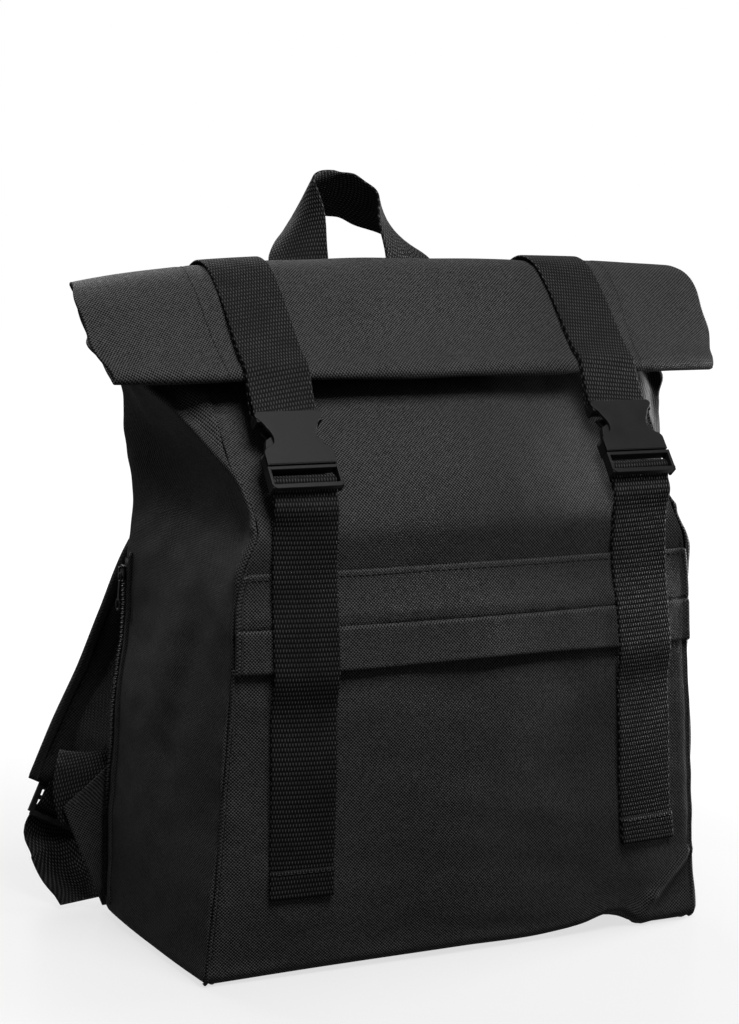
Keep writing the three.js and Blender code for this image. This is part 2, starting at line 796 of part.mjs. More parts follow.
// The buckle's other half: a frame with a middle bar for the tail, a lip below it and two prongs in the
// socket.
function buckleFrame() {
  const half = buckleWidth / 2;
  const top = -socketLength - gap - 0.4;
  const foot = top - frameLength;
  const back = buckleFace + frameThickness;
  const shape = new THREE.Shape();
  shape.moveTo(-half, top);
  shape.lineTo(-half, foot + frameCorner);
  shape.quadraticCurveTo(-half, foot, -half + frameCorner, foot);
  shape.lineTo(half - frameCorner, foot);
  shape.quadraticCurveTo(half, foot, half, foot + frameCorner);
  shape.lineTo(half, top);
  const window = box(-slotHalf, slotHalf, buckleFace - 1, back + 1, foot + frameLip, top - frameBrow);
  const exit = box(-slotHalf, slotHalf, buckleFace + frameLip, back + 1, foot - 1, foot + frameLip + 1);
  const bar = new THREE.CylinderGeometry(barRadius, barRadius, 2 * slotHalf + 2, 10).rotateZ(Math.PI / 2);
  bar.translate(0, 0, tailBar);
  const prongFront = buckleFace + plate + gap;
  const prongs = [-1, 1].map((side) => {
    const outline = prongOutline.map((row) => new THREE.Vector2(
      side * (half - row.inwards), -row.down * socketLength,
    ));
    return plateOf(new THREE.Shape(outline), prongFront, prongFront + prongThickness);
  });
  return join(subtract(plateOf(shape, buckleFace, back, 4), window, exit), bar, ...prongs);
}

// A point of the left side's outline near its back edge, at a height and a distance in front of the back.
function zipPoint(z, ahead) {
  const outline = gussetOutline(z, 0);
  const y = sectionAt(z).backY - ahead;
  const i = outline.findIndex((p, k) => k > 1 && p.y >= y);
  const share = (y - outline[i - 1].y) / (outline[i].y - outline[i - 1].y);
  return new THREE.Vector3(-outline[i - 1].x - (outline[i].x - outline[i - 1].x) * share, y, z);
}

function zipTape() {
  const endClearance = 5;
  const between = bagSections.map((row) => row.up * neckHeight).filter((z) => (
    z > zipLow + endClearance && z < zipHigh - endClearance));
  const heights = [zipLow, ...between, zipHigh];
  const places = [1, 0.77, 0.54, 0.27, 0].map((share) => zipBackEdge + zipWidth * share);
  const face = heights.map((z) => places.map((ahead) => zipPoint(z, ahead)));
  const normals = gridNormals(face, false);
  const outwards = normals[0][0].x < 0 ? 1 : -1;
  const near = offsetGrid(face, normals, outwards * gap);
  return closedSheet(offsetGrid(face, normals, outwards * (gap + zipThickness)), near);
}

// The slider and the pull that hangs from it stand off the tape by the gap.
const sliderHeight = zipHigh - sliderDrop;
const sliderHalf = sliderLength / 2;
const zipCentre = zipBackEdge + zipWidth / 2;
const hardwareAt = zipCentre + zipHardwareShift;

function zipSlider() {
  const at = zipPoint(sliderHeight, zipCentre);
  const lowest = zipPoint(sliderHeight - sliderHalf, hardwareAt);
  const out = lowest.x - zipThickness - 2 * gap;
  const side = sliderWidth / 2;
  return box(out - sliderThickness, out, at.y - side, at.y + side, at.z - sliderHalf, at.z + sliderHalf);
}

function zipPull() {
  const top = sliderHeight - sliderHalf - gap;
  const at = zipPoint(top, hardwareAt);
  const foot = zipPoint(top - pullLength, hardwareAt);
  const shape = new THREE.Shape();
  shape.moveTo(-pullHalf * 0.85, 0);
  shape.lineTo(pullHalf * 0.85, 0);
  shape.lineTo(pullHalf, -pullLength * 0.55);
  shape.quadraticCurveTo(pullHalf * 1.9, -pullLength * 0.8, 0, -pullLength);
  shape.quadraticCurveTo(-pullHalf * 1.9, -pullLength * 0.8, -pullHalf, -pullLength * 0.55);
  const pull = plateOf(shape, -pullThickness, 0).rotateZ(Math.PI / 2);
  pull.rotateY(Math.atan2(at.x - foot.x, pullLength));
  const standoff = zipThickness + 2 * gap + pullThickness + sewnClearance;
  return pull.translate(at.x - standoff, at.y + zipHardwareShift, top);
}

// Half of the handle on the right of the bag, sewn flat to the back panel below its foot.
function handleHalf(table) {
  const spread = handleSpacing / 2;
  const half = table.map((row) => {
    const turn = THREE.MathUtils.degToRad(row.turn);
    return {
      at: new THREE.Vector3(
        row.out * spread, handleSetback + row.back * handleRise, neckHeight + row.up * handleRise,
      ),
      across: new THREE.Vector3(
        Math.cos(turn), Math.sin(turn) * Math.sin(handleLean), -Math.sin(turn) * Math.cos(handleLean),
      ),
    };
  });
  for (const share of handleOnBack) {
    const z = share * neckHeight;
    const y = backY(spread - strapWidth / 2, z) + gap + strapHalf + sewnClearance;
    half.push({ at: new THREE.Vector3(spread, y, z), across: new THREE.Vector3(1, 0, 0) });
  }
  return half;
}

// The handle's two halves meet at its top.
function grabHandle() {
  const toLeft = new THREE.Vector3(-1, 1, 1);
  const left = handleHalf(handleLeft).slice(1).reverse().map((station) => ({
    at: station.at.clone().multiply(toLeft),
    across: station.across.clone().multiply(toLeft),
  }));
  return ribbon([...left, ...handleHalf(handleRight)], strapWidth, strapThickness, flatProfile);
}

// A point on the left of the bag from a row of shares.
function leftPoint(row) {
  return new THREE.Vector3(-row.out * halfWidth, row.back * halfDepth, row.up * neckHeight);
}

function shoulderPad() {
  const stations = padStations.map((row) => {
    const yaw = THREE.MathUtils.degToRad(row.yaw);
    const across = new THREE.Vector3(-Math.cos(yaw), -Math.sin(yaw), 0);
    return { at: leftPoint(row), across, full: row.full };
  });
  return ribbon(stations, padWidth, padThickness, padProfile);
}

// The ladder lock's own frame: local y up the strap, local z away from the bag, hung below the pad's end.
const padEnd = leftPoint(padStations[padStations.length - 1]);
const padRun = padEnd.clone().sub(leftPoint(padStations[padStations.length - 2])).normalize();
const lockCentre = padEnd.clone().addScaledVector(padRun, lockTop + gap);
const lockUp = padRun.clone().negate();
const lockYaw = THREE.MathUtils.degToRad(padStations[padStations.length - 1].yaw);
const lockLevel = new THREE.Vector3(Math.cos(lockYaw), Math.sin(lockYaw), 0);
const lockAcross = lockLevel.clone().addScaledVector(lockUp, -lockLevel.dot(lockUp)).normalize();
const lockOut = lockAcross.clone().cross(lockUp).negate();

function onLock(out, up) {
  return lockCentre.clone().addScaledVector(lockOut, out).addScaledVector(lockUp, up);
}

function ladderLock() {
  const half = lockWidth / 2;
  const shape = new THREE.Shape();
  shape.moveTo(-half, lockTop);
  shape.lineTo(half, lockTop);
  shape.lineTo(half, -lockFoot + lockChamfer);
  shape.lineTo(half - lockChamfer, -lockFoot);
  shape.lineTo(-half + lockChamfer, -lockFoot);
  shape.lineTo(-half, -lockFoot + lockChamfer);
  const windowHalf = webWidth / 2 + slotClearance;
  const windows = lockWindows.map((row) => {
    const hole = new THREE.Path();
    hole.moveTo(-windowHalf, row.low);
    hole.lineTo(windowHalf, row.low);
    hole.lineTo(windowHalf, row.high);
    hole.lineTo(-windowHalf, row.high);
    return hole;
  });
  shape.holes.push(...windows);
  const lock = new THREE.ExtrudeGeometry(shape, { depth: lockThickness, bevelEnabled: false });
  lock.translate(0, 0, -lockThickness / 2);
  const place = new THREE.Matrix4().makeBasis(lockAcross, lockUp, lockAcross.clone().cross(lockUp));
  return lock.applyMatrix4(place.setPosition(lockCentre));
}

// The adjuster webbing: from the tab up to the lock, in front of its middle bar, out below it and down.
function adjuster() {
  const level = new THREE.Vector3(1, 0, 0);
  const stations = [
    ...adjusterRise.map((row) => ({ at: leftPoint(row), across: level })),
    ...adjusterInLock.map((row) => ({ at: onLock(row.behind, row.above), across: lockAcross })),
    ...adjusterTail.map((row) => ({ at: leftPoint(row), across: level })),
  ];
  return ribbon(stations, webWidth, webThickness, flatProfile);
}

function strapTab() {
  const root = -tabRoot * halfWidth;
  const face = tabReaches.map((row) => [0, 0.35, 0.7, 1].map((share) => {
    const x = root + (-row.out * halfWidth - root) * share;
    const z = row.up * neckHeight;
    return new THREE.Vector3(x, backY(x, z) + gap + sewnClearance, z);
  }));
  const back = face.map((row) => row.map((p) => new THREE.Vector3(p.x, p.y + tabThickness, p.z)));
  return closedSheet(face, back);
}

// Finishes
function finish(color, roughness, metalness = 0) {
  return () => new THREE.MeshStandardMaterial({ color, roughness, metalness });
}

const shellCloth = finish(0x202124, 0.85);
const baseCloth = finish(0x1b1c1f, 0.9);
const blackWebbing = finish(0x141416, 0.8);
const blackPlastic = finish(0x2a2a2c, 0.42);
const zipFabric = finish(0x18181a, 0.7);
const blackMetal = finish(0x1d1d1f, 0.35, 0.6);

const part = new THREE.Group();

function add(name, geometry, material, parent = part) {
  const mesh = new THREE.Mesh(geometry, material());
  mesh.name = name;
  parent.add(mesh);
}

// The bag
const backStart = frontColumns + gussetColumns - 1;
add('front_panel', bagPanel(-1, frontColumns + 2), shellCloth);
add('right_gusset', bagPanel(frontColumns, gussetColumns), shellCloth);
add('back_panel', bagPanel(backStart, frontColumns + 2), shellCloth);
add('left_gusset', bagPanel(backStart + frontColumns + 1, gussetColumns), shellCloth);
add('base_panel', basePanel(), baseCloth);
add('pocket_panel', frontSheet(pocketY, pocketRows), shellCloth);
add('pocket_flap', frontSheet(flapY, flapRows), shellCloth);
add('roll_top', rolledMouth(), shellCloth);
add('zip_tape', zipTape(), zipFabric);
add('zip_slider', zipSlider(), blackMetal);
add('zip_pull', zipPull(), blackMetal);
add('grab_handle', grabHandle(), blackWebbing);

// The closures, each with its buckle in a frame of its own that hangs by the bar
for (const side of [{ name: 'left', x: -strapOffset }, { name: 'right', x: strapOffset }]) {
  const buckle = new THREE.Group();
  buckle.position.set(side.x, buckleBar.x, buckleBar.y);
  buckle.rotation.x = -buckleTilt;
  part.add(buckle);
  add(`closure_strap_${side.name}`, closureStrap(side.x), blackWebbing);
  add(`buckle_socket_${side.name}`, buckleSocket(), blackPlastic, buckle);
  add(`buckle_frame_${side.name}`, buckleFrame(), blackPlastic, buckle);
}
add('tail_strap_left', tailStrap(-strapOffset, leftTailEnd, 0), blackWebbing);
add('tail_strap_right', tailStrap(strapOffset, rightTailEnd, rightTailDrift), blackWebbing);

// The shoulder straps: the left one's pieces, and the same on the right
const shoulderPieces = [
  { name: 'shoulder_pad', make: shoulderPad, material: shellCloth },
  { name: 'ladder_lock', make: ladderLock, material: blackPlastic },
  { name: 'adjuster', make: adjuster, material: blackWebbing },
  { name: 'strap_tab', make: strapTab, material: shellCloth },
];
for (const piece of shoulderPieces) {
  add(`${piece.name}_left`, piece.make(), piece.material);
  add(`${piece.name}_right`, mirrored(piece.make()), piece.material);
}

export default part;
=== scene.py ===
# A black rolltop backpack: the looks of its cloth, webbing, buckles, zip and shoulder straps.
# Lengths in the tables and functions are millimetres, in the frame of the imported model; meshes are metres.
import math

import bmesh
import bpy
import numpy as np
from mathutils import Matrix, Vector


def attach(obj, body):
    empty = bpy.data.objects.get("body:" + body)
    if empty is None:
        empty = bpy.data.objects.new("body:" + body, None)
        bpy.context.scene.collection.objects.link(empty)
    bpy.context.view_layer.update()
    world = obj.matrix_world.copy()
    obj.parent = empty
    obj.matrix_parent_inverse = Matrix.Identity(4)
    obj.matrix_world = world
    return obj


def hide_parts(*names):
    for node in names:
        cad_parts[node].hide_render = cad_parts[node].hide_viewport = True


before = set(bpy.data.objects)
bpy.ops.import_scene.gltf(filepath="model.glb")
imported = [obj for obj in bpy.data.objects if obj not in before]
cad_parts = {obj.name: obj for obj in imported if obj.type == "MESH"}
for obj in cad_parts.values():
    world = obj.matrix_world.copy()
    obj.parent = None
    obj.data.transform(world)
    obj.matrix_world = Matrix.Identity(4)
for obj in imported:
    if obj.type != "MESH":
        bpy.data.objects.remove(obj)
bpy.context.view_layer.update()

MM = 0.001
SCENE = bpy.context.scene

# The photograph's camera
CAMERA_AT = (-652, -1323, 430)
CAMERA_TILT = 83.59
CAMERA_TURN = -25.5
FILM_HEIGHT = 36
LENS = 81.63

# Driving sizes of the bag
HALF_WIDTH = 171.5
HALF_DEPTH = 89.5
NECK = 376
NECK_BACK = 50
NECK_SWEEP = 18
NECK_HALF = 1.07
CLOTH = 2
GAP = 0.3
BASE_CURL = 8
SEAM_AT_MOUTH = 147
ROLL_HALF = 214
ROLL_REACH = 118
ROLL_RISE = 47.5
ROLL_BAND = 3
POCKET_TOP = 190
FLAP_TOP = 245
FLAP_FOOT = 187
HEM_HEIGHT = 212
STRAP_OFFSET = 113
STRAP_WIDTH = 40
STRAP_THICKNESS = 1.6
STRAP_HALF = STRAP_THICKNESS / 2

# The bag's outline at each height: shares of the neck's height, of the half width and of the half depth
SECTION_COLUMNS = (
    "up", "front_half", "front", "back_half", "back", "front_bulge", "back_bulge", "side_bulge",
)
SECTIONS = np.array([
    (0.021, 1.000, 0.978, 1.000, 1.000, 0.034, 0.02, 0.02),
    (0.160, 0.970, 1.006, 0.980, 1.035, 0.056, 0.03, 0.05),
    (0.320, 0.942, 1.034, 0.950, 1.055, 0.067, 0.04, 0.06),
    (0.505, 0.913, 1.067, 0.910, 1.055, 0.067, 0.04, 0.04),
    (0.638, 0.892, 1.117, 0.882, 1.045, 0.045, 0.04, 0.00),
    (0.678, 0.862, 1.156, 0.878, 1.034, 0.034, 0.04, -0.02),
    (0.713, 0.830, 1.150, 0.878, 1.022, 0.060, 0.04, -0.04),
    (0.758, 0.830, 1.028, 0.884, 1.000, 0.130, 0.04, -0.06),
    (0.798, 0.852, 0.900, 0.898, 0.966, 0.170, 0.04, -0.06),
    (0.846, 0.920, 0.710, 0.925, 0.900, 0.190, 0.05, -0.04),
    (0.891, 0.985, 0.520, 0.945, 0.810, 0.180, 0.06, -0.03),
    (0.936, 1.060, 0.290, 0.980, 0.700, 0.160, 0.08, -0.02),
    (0.963, 1.070, -0.020, 1.010, 0.620, 0.180, 0.11, -0.01),
    (0.984, 1.070, -0.200, 1.040, 0.510, 0.040, 0.16, 0.00),
    (1.000, NECK_HALF, -0.321, NECK_HALF, 0.394, -0.201, 0.201, 0.00),
])

# The roll's line from the neck, over the top, down the front, back underneath and round again:
# forwards as a share of its reach, and up as a share of its rise
ROLL_TURNS = np.array([
    (0.000, 0.00), (-0.020, 0.32), (0.050, 0.64), (0.170, 0.87), (0.320, 0.97), (0.470, 0.89),
    (0.620, 0.58), (0.770, 0.10), (0.900, -0.25), (0.975, -0.40), (0.985, -0.48), (0.940, -0.50),
    (0.880, -0.44), (0.700, -0.27), (0.450, -0.06), (0.240, 0.06), (0.130, 0.22), (0.130, 0.46),
    (0.220, 0.66), (0.340, 0.72), (0.500, 0.54), (0.660, 0.20), (0.800, -0.14),
])
# How wide the roll is at each of those places, as shares of its half width
ROLL_WIDE = np.array([
    0.87, 0.9, 0.93, 0.955, 0.98, 1, 1, 0.99, 0.975, 0.97, 0.965, 0.96, 0.955, 0.95, 0.94, 0.93, 0.93, 0.94,
    0.95, 0.95, 0.95, 0.95, 0.95,
])
ROLL_OUTER_TURNS = 11
STRAP_DOUBLED_FROM = 7
ROLL_LOWEST = -0.5
ROLL_END_SHRINK = 0.17
ROLL_ASKEW = 5
ROLL_LEFT_DROOP = 0.2
ROLL_RIGHT_DROOP = 0.08
ROLL_MIDDLE = 0.35

# The buckles
BUCKLE_TILT = math.radians(37)
BUCKLE_HEIGHT = 331
BUCKLE_STANDOFF = 15.5
BUCKLE_HALF = 22.5
BUCKLE_WAIST = 13.5
SOCKET_LENGTH = 33
SOCKET_THICKNESS = 9.6
FRAME_LENGTH = 15.5
FRAME_THICKNESS = 7.4
PLATE = 2.2
BAR_RADIUS = 1.6
BAR_GAP = 0.45
BAR_LOOP = BAR_RADIUS + BAR_GAP + STRAP_HALF
BUCKLE_FACE = -BAR_RADIUS - 2 * BAR_GAP - STRAP_THICKNESS - PLATE
TAIL_BAR = -SOCKET_LENGTH - 8.2


# Curves and grids

def smooth_at(knots, values, at):
    """A cubic through the values at the knots, with each slope taken from its neighbours."""
    knots = np.asarray(knots, float)
    values = np.asarray(values, float)
    at = np.clip(np.asarray(at, float), knots[0], knots[-1])
    flat = values.reshape(len(knots), -1)
    step = np.diff(knots)
    rise = np.diff(flat, axis=0) / step[:, None]
    slope = np.empty_like(flat)
    slope[0] = rise[0]
    slope[-1] = rise[-1]
    weight = (step[1:] / (step[:-1] + step[1:]))[:, None]
    slope[1:-1] = rise[:-1] * weight + rise[1:] * (1 - weight)
    i = np.clip(np.searchsorted(knots, at, side="right") - 1, 0, len(step) - 1)
    h = step[i]
    t = ((at - knots[i]) / h)[..., None]
    h = h[..., None]
    low, high = flat[i], flat[i + 1]
    bend = (2 * t**3 - 3 * t**2 + 1) * low + (t**3 - 2 * t**2 + t) * h * slope[i]
    bend = bend + (3 * t**2 - 2 * t**3) * high + (t**3 - t**2) * h * slope[i + 1]
    return bend.reshape(at.shape + values.shape[1:])


def smoothstep(low, high, x):
    t = np.clip((np.asarray(x, float) - low) / (high - low), 0, 1)
    return t * t * (3 - 2 * t)


def bell(x, width):
    """1 at 0, falling away on both sides over about the width."""
    return np.exp(-((x / width) ** 2))


def dome(x, half):
    """1 in the middle, falling to 0 at the half width."""
    return np.maximum(0, 1 - (x / half) ** 2)


def unit(v):
    return v / np.linalg.norm(v, axis=-1, keepdims=True)


def lengths(line):
    """Distance along a line of points, from its start to each point."""
    return np.concatenate([[0], np.cumsum(np.linalg.norm(np.diff(line, axis=0), axis=1))])


def distances(grid, axis):
    """Distance over a grid of points along one axis, from its first row or column to each point."""
    steps = np.diff(grid, axis=axis, prepend=np.take(grid, [0], axis=axis))
    return np.cumsum(np.linalg.norm(steps, axis=2), axis=axis)


def sampled(values, run, at):
    """Rows of values that belong to the distances in `run`, read off at other distances."""
    return np.stack([np.interp(at, run, column) for column in values.T], axis=-1)


def evenly(line, count):
    """Evenly spaced points on the segments of a line."""
    run = lengths(line)
    return sampled(line, run, np.linspace(0, run[-1], count))


FINER = 6


def even_line(points, count):
    """A smooth line through the points, with evenly spaced points of its own."""
    points = np.asarray(points, float)
    knots = lengths(points)
    return evenly(smooth_at(knots, points, np.linspace(0, knots[-1], count * FINER)), count)


def level_row(x, y, z):
    """A row of points; y and z hold one value each or one for each x."""
    return np.stack(np.broadcast_arrays(x, y, z), axis=1)


SHORTEST = 1e-9


def grid_normals(grid):
    """Unit normals of a grid of points: across its columns, then up its rows."""
    along = np.gradient(grid, axis=1)
    up = np.gradient(grid, axis=0)
    normal = np.cross(along, up)
    return normal / np.maximum(np.linalg.norm(normal, axis=2, keepdims=True), SHORTEST)


def undulation(u, v, wavelength, seed):
    """Slow, irregular waves between about -1 and 1 over a sheet."""
    rng = np.random.default_rng(seed)
    total = np.zeros(np.broadcast(u, v).shape)
    for _ in range(9):
        turn = rng.uniform(0, math.pi)
        phase = rng.uniform(0, 2 * math.pi)
        pace = 2 * math.pi / (wavelength * rng.uniform(0.7, 1.5))
        total = total + np.sin((u * math.cos(turn) + v * math.sin(turn)) * pace + phase)
    return total / 3.2


def segment_distance(points, start, end):
    start = np.asarray(start, float)
    run = np.asarray(end, float) - start
    share = np.clip(((points - start) @ run) / (run @ run), 0, 1)
    return np.linalg.norm(points - start - share[..., None] * run, axis=-1)


def fold_shift(points, folds):
    """How far folds lift or press a surface: each is a start, an end, a half width and a height."""
    shift = np.zeros(points.shape[:-1])
    for start, end, width, height in folds:
        shift += height * bell(segment_distance(points, start, end), width)
    return shift


# Meshes

def placed(name, mesh, material, replaces):
    """Puts a mesh in the scene as a piece that rides on the bag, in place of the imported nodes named."""
    mesh.materials.append(material)
    mesh.shade_smooth()
    piece = bpy.data.objects.new(name, mesh)
    SCENE.collection.objects.link(piece)
    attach(piece, "root")
    if replaces:
        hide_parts(*replaces)
    return piece


def mesh_object(name, points, faces, material, uv=None, replaces=()):
    """A piece from points in millimetres; uv holds millimetres of cloth at each face's corners."""
    mesh = bpy.data.meshes.new(name)
    mesh.from_pydata((np.asarray(points) * MM).tolist(), [], faces)
    if uv is not None:
        layer = mesh.uv_layers.new(name="Cloth")
        layer.data.foreach_set("uv", (np.asarray(uv, float) * MM).ravel())
    mesh.validate()
    return placed(name, mesh, material, replaces)


def grid_quads(rows, columns):
    """The faces between the points of a grid, and the points' numbers in it."""
    corner = np.arange(rows * columns).reshape(rows, columns)
    around = (corner[:-1, :-1], corner[:-1, 1:], corner[1:, 1:], corner[1:, :-1])
    return np.stack(around, axis=-1).reshape(-1, 4), corner


def band(name, grid, thickness, material, replaces=(), edge=0.35, uv_shift=(0, 0)):
    """A closed sheet with rounded edges about a grid of points; its weave follows the grid's own lengths."""
    rows, columns, _ = grid.shape
    half = np.full((rows, columns), thickness / 2)
    half[:, [0, -1]] *= edge
    half[[0, -1], :] *= edge
    offset = grid_normals(grid) * half[..., None]
    points = np.concatenate([(grid + offset).reshape(-1, 3), (grid - offset).reshape(-1, 3)])
    across = np.broadcast_to(distances(grid, 1)[rows // 2], (rows, columns)) + uv_shift[0]
    place = np.stack([across, distances(grid, 0) + uv_shift[1]], axis=-1).reshape(-1, 2)
    front, corner = grid_quads(rows, columns)
    count = rows * columns
    ring = np.concatenate([corner[0, :], corner[1:, -1], corner[-1, -2::-1], corner[-2:0:-1, 0]])
    after = np.roll(ring, -1)
    rim = np.stack([ring + count, after + count, after, ring], axis=-1)
    faces = np.concatenate([front, front[:, ::-1] + count, rim])
    uv = np.concatenate([place, place])[faces.ravel()]
    return mesh_object(name, points, faces.tolist(), material, uv, replaces)


def strip_from(centre, across, width, shares):
    """A grid of points from a centre line and the direction across it at each point."""
    return centre[:, None, :] + across[:, None, :] * (shares * width)[None, :, None]


WEB_SHARES = np.array([-0.5, -0.488, -0.46, -0.35, -0.2, 0, 0.2, 0.35, 0.46, 0.488, 0.5])


# Materials

FLOOR_GLOW = 1.0


class Nodes:
    """Short calls for the nodes of one material."""

    def __init__(self, name):
        self.material = bpy.data.materials.new(name)
        self.material.use_nodes = True
        self.tree = self.material.node_tree
        self.shader = next(n for n in self.tree.nodes if n.type == "BSDF_PRINCIPLED")

    def new(self, kind, **settings):
        node = self.tree.nodes.new(kind)
        for key, value in settings.items():
            setattr(node, key, value)
        return node

    def feed(self, value, socket):
        if isinstance(value, bpy.types.NodeSocket):
            self.tree.links.new(value, socket)
        else:
            socket.default_value = value

    def math(self, operation, *values):
        node = self.new("ShaderNodeMath", operation=operation)
        for i, value in enumerate(values):
            self.feed(value, node.inputs[i])
        return node.outputs[0]

    def mix(self, share, low, high):
        node = self.new("ShaderNodeMix", data_type="RGBA")
        self.feed(share, node.inputs[0])
        self.feed((*low, 1) if isinstance(low, tuple) else low, node.inputs[6])
        self.feed((*high, 1) if isinstance(high, tuple) else high, node.inputs[7])
        return node.outputs[2]

    def remap(self, value, low, high, to_low, to_high):
        node = self.new("ShaderNodeMapRange")
        for socket, item in zip(node.inputs, (value, low, high, to_low, to_high)):
            self.feed(item, socket)
        return node.outputs[0]

    def noise(self, scale, detail=2):
        node = self.new("ShaderNodeTexNoise")
        node.inputs["Scale"].default_value = scale
        node.inputs["Detail"].default_value = detail
        self.tree.links.new(self.position(), node.inputs["Vector"])
        return node.outputs["Fac"]

    def position(self):
        return self.new("ShaderNodeTexCoord").outputs["Object"]

    def place(self, by_uv=True):
        """The two distances over the cloth, in metres."""
        where = self.new("ShaderNodeTexCoord").outputs["UV" if by_uv else "Object"]
        parts = self.new("ShaderNodeSeparateXYZ")
        self.tree.links.new(where, parts.inputs[0])
        return parts.outputs[0], parts.outputs[1 if by_uv else 2]

    def bump(self, height, distance, strength=1.0, below=None):
        node = self.new("ShaderNodeBump")
        node.inputs["Strength"].default_value = strength
        node.inputs["Distance"].default_value = distance
        self.tree.links.new(height, node.inputs["Height"])
        if below is not None:
            self.tree.links.new(below, node.inputs["Normal"])
        return node.outputs["Normal"]

    def finish(self, colour, roughness, normal, specular=0.5, metallic=0.0):
        self.feed(colour, self.shader.inputs["Base Color"])
        self.feed(roughness, self.shader.inputs["Roughness"])
        self.tree.links.new(normal, self.shader.inputs["Normal"])
        self.shader.inputs["Specular IOR Level"].default_value = specular
        self.shader.inputs["Metallic"].default_value = metallic
        return self.material


def woven_cloth(name, dark, light, by_uv=True, thread=1.02, specular=0.16):
    """Coated cloth in a plain weave, whose raised threads show as fine diagonals of lighter dots."""
    n = Nodes(name)
    u, v = n.place(by_uv)
    pace = math.pi / (thread * MM)
    warp = n.math("SINE", n.math("MULTIPLY", u, pace))
    weft = n.math("SINE", n.math("MULTIPLY", v, pace))
    weave = n.math("MULTIPLY", warp, weft)
    slub = n.noise(520, 3)
    cloudy = n.noise(9, 3)
    shade = n.math("MULTIPLY_ADD", weave, 1.5, 0.36)
    shade = n.math("MULTIPLY_ADD", n.math("SUBTRACT", slub, 0.5), 1.6, shade)
    shade = n.math("MULTIPLY_ADD", n.math("SUBTRACT", cloudy, 0.5), 0.4, shade)
    colour = n.mix(n.math("MAXIMUM", n.math("MINIMUM", shade, 1.0), 0.0), dark, light)
    roughness = n.remap(shade, 0.0, 1.0, 0.7, 0.5)
    height = n.math("ADD", n.math("ABSOLUTE", weave), n.math("MULTIPLY", slub, 0.5))
    normal = n.bump(height, 0.2 * MM, 0.9, n.bump(n.noise(38, 3), 0.9 * MM, 0.35))
    return n.finish(colour, roughness, normal, specular=specular)


def webbing_weave(name, dark, light, dot=1.85, row=2.85):
    """Heavy webbing: rows of lighter float threads, each row set half a thread over from the last."""
    n = Nodes(name)
    u, v = n.place()
    across = n.math("COSINE", n.math("MULTIPLY", u, 2 * math.pi / (dot * MM)))
    along = n.math("COSINE", n.math("MULTIPLY", v, math.pi / (row * MM)))
    floats = n.math("MAXIMUM", n.math("MULTIPLY", across, along), 0.0)
    floats = n.math("POWER", floats, 1.5)
    fibre = n.noise(900, 3)
    uneven = n.noise(60, 2)
    shade = n.math("MULTIPLY", floats, n.math("MULTIPLY_ADD", uneven, 1.6, 0.3))
    shade = n.math("MULTIPLY_ADD", n.math("SUBTRACT", fibre, 0.5), 0.3, shade)
    colour = n.mix(n.math("MAXIMUM", n.math("MINIMUM", shade, 1.0), 0.0), dark, light)
    ribs = n.math("ABSOLUTE", along)
    height = n.math("ADD", n.math("MULTIPLY", floats, 0.75), n.math("MULTIPLY", ribs, 0.4))
    height = n.math("MULTIPLY_ADD", fibre, 0.2, height)
    roughness = n.remap(shade, 0.0, 1.0, 0.75, 0.5)
    return n.finish(colour, roughness, n.bump(height, 0.45 * MM, 0.9), specular=0.18)


def moulded_plastic(name, dark, light, roughness):
    """Satin moulded plastic with a fine spark-eroded grain and faint handling marks."""
    n = Nodes(name)
    grain = n.noise(1500, 2)
    marks = n.noise(70, 5)
    colour = n.mix(marks, dark, light)
    rough = n.remap(marks, 0.3, 0.7, roughness - 0.07, roughness + 0.08)
    normal = n.bump(grain, 0.05 * MM, 0.5, n.bump(n.noise(90, 2), 0.12 * MM, 0.3))
    return n.finish(colour, rough, normal, specular=0.17)


def painted_metal(name, dark, light):
    """Black painted metal, rubbed a little brighter in spots."""
    n = Nodes(name)
    rubbed = n.noise(240, 4)
    colour = n.mix(n.remap(rubbed, 0.45, 0.75, 0.0, 1.0), dark, light)
    rough = n.remap(rubbed, 0.3, 0.7, 0.34, 0.22)
    return n.finish(colour, rough, n.bump(n.noise(800, 2), 0.04 * MM, 0.4), metallic=0.7)


# Sewing thread drawn far darker than the cloth: partly the thread's own black and partly painted shade of the
# grooves it lies sunk in.
def sewing_thread(name, dark, light):
    n = Nodes(name)
    twist = n.noise(1800, 2)
    colour = n.mix(twist, dark, light)
    return n.finish(colour, 0.6, n.bump(twist, 0.06 * MM, 0.6), specular=0.3)


def pale_floor(name):
    """A white studio table that glows a little, so that the bag casts only a soft shadow on it; its glow is dimmer
    near the bag, as painted shade.
    """
    n = Nodes(name)
    mottled = n.noise(3, 2)
    distance = n.new("ShaderNodeVectorMath", operation="LENGTH")
    n.tree.links.new(n.position(), distance.inputs[0])
    # Painted shade: the floor's glow is dimmer within about 0.3 m of the middle, where the bag stands, and turns
    # white by 1.2 m out.
    glow_with_painted_shade = n.mix(n.remap(distance.outputs["Value"], 0.3, 1.2, 0.0, 1.0), (0.7, 0.697, 0.7), (1.0, 1.0, 1.0))
    rough = n.remap(mottled, 0.3, 0.7, 0.2, 0.24)
    n.shader.inputs["Emission Strength"].default_value = FLOOR_GLOW
    n.tree.links.new(glow_with_painted_shade, n.shader.inputs["Emission Color"])
    colour = n.mix(mottled, (0.2, 0.2, 0.2), (0.22, 0.22, 0.22))
    return n.finish(colour, rough, n.bump(n.noise(30, 2), 0.02 * MM, 0.1), specular=0.3)


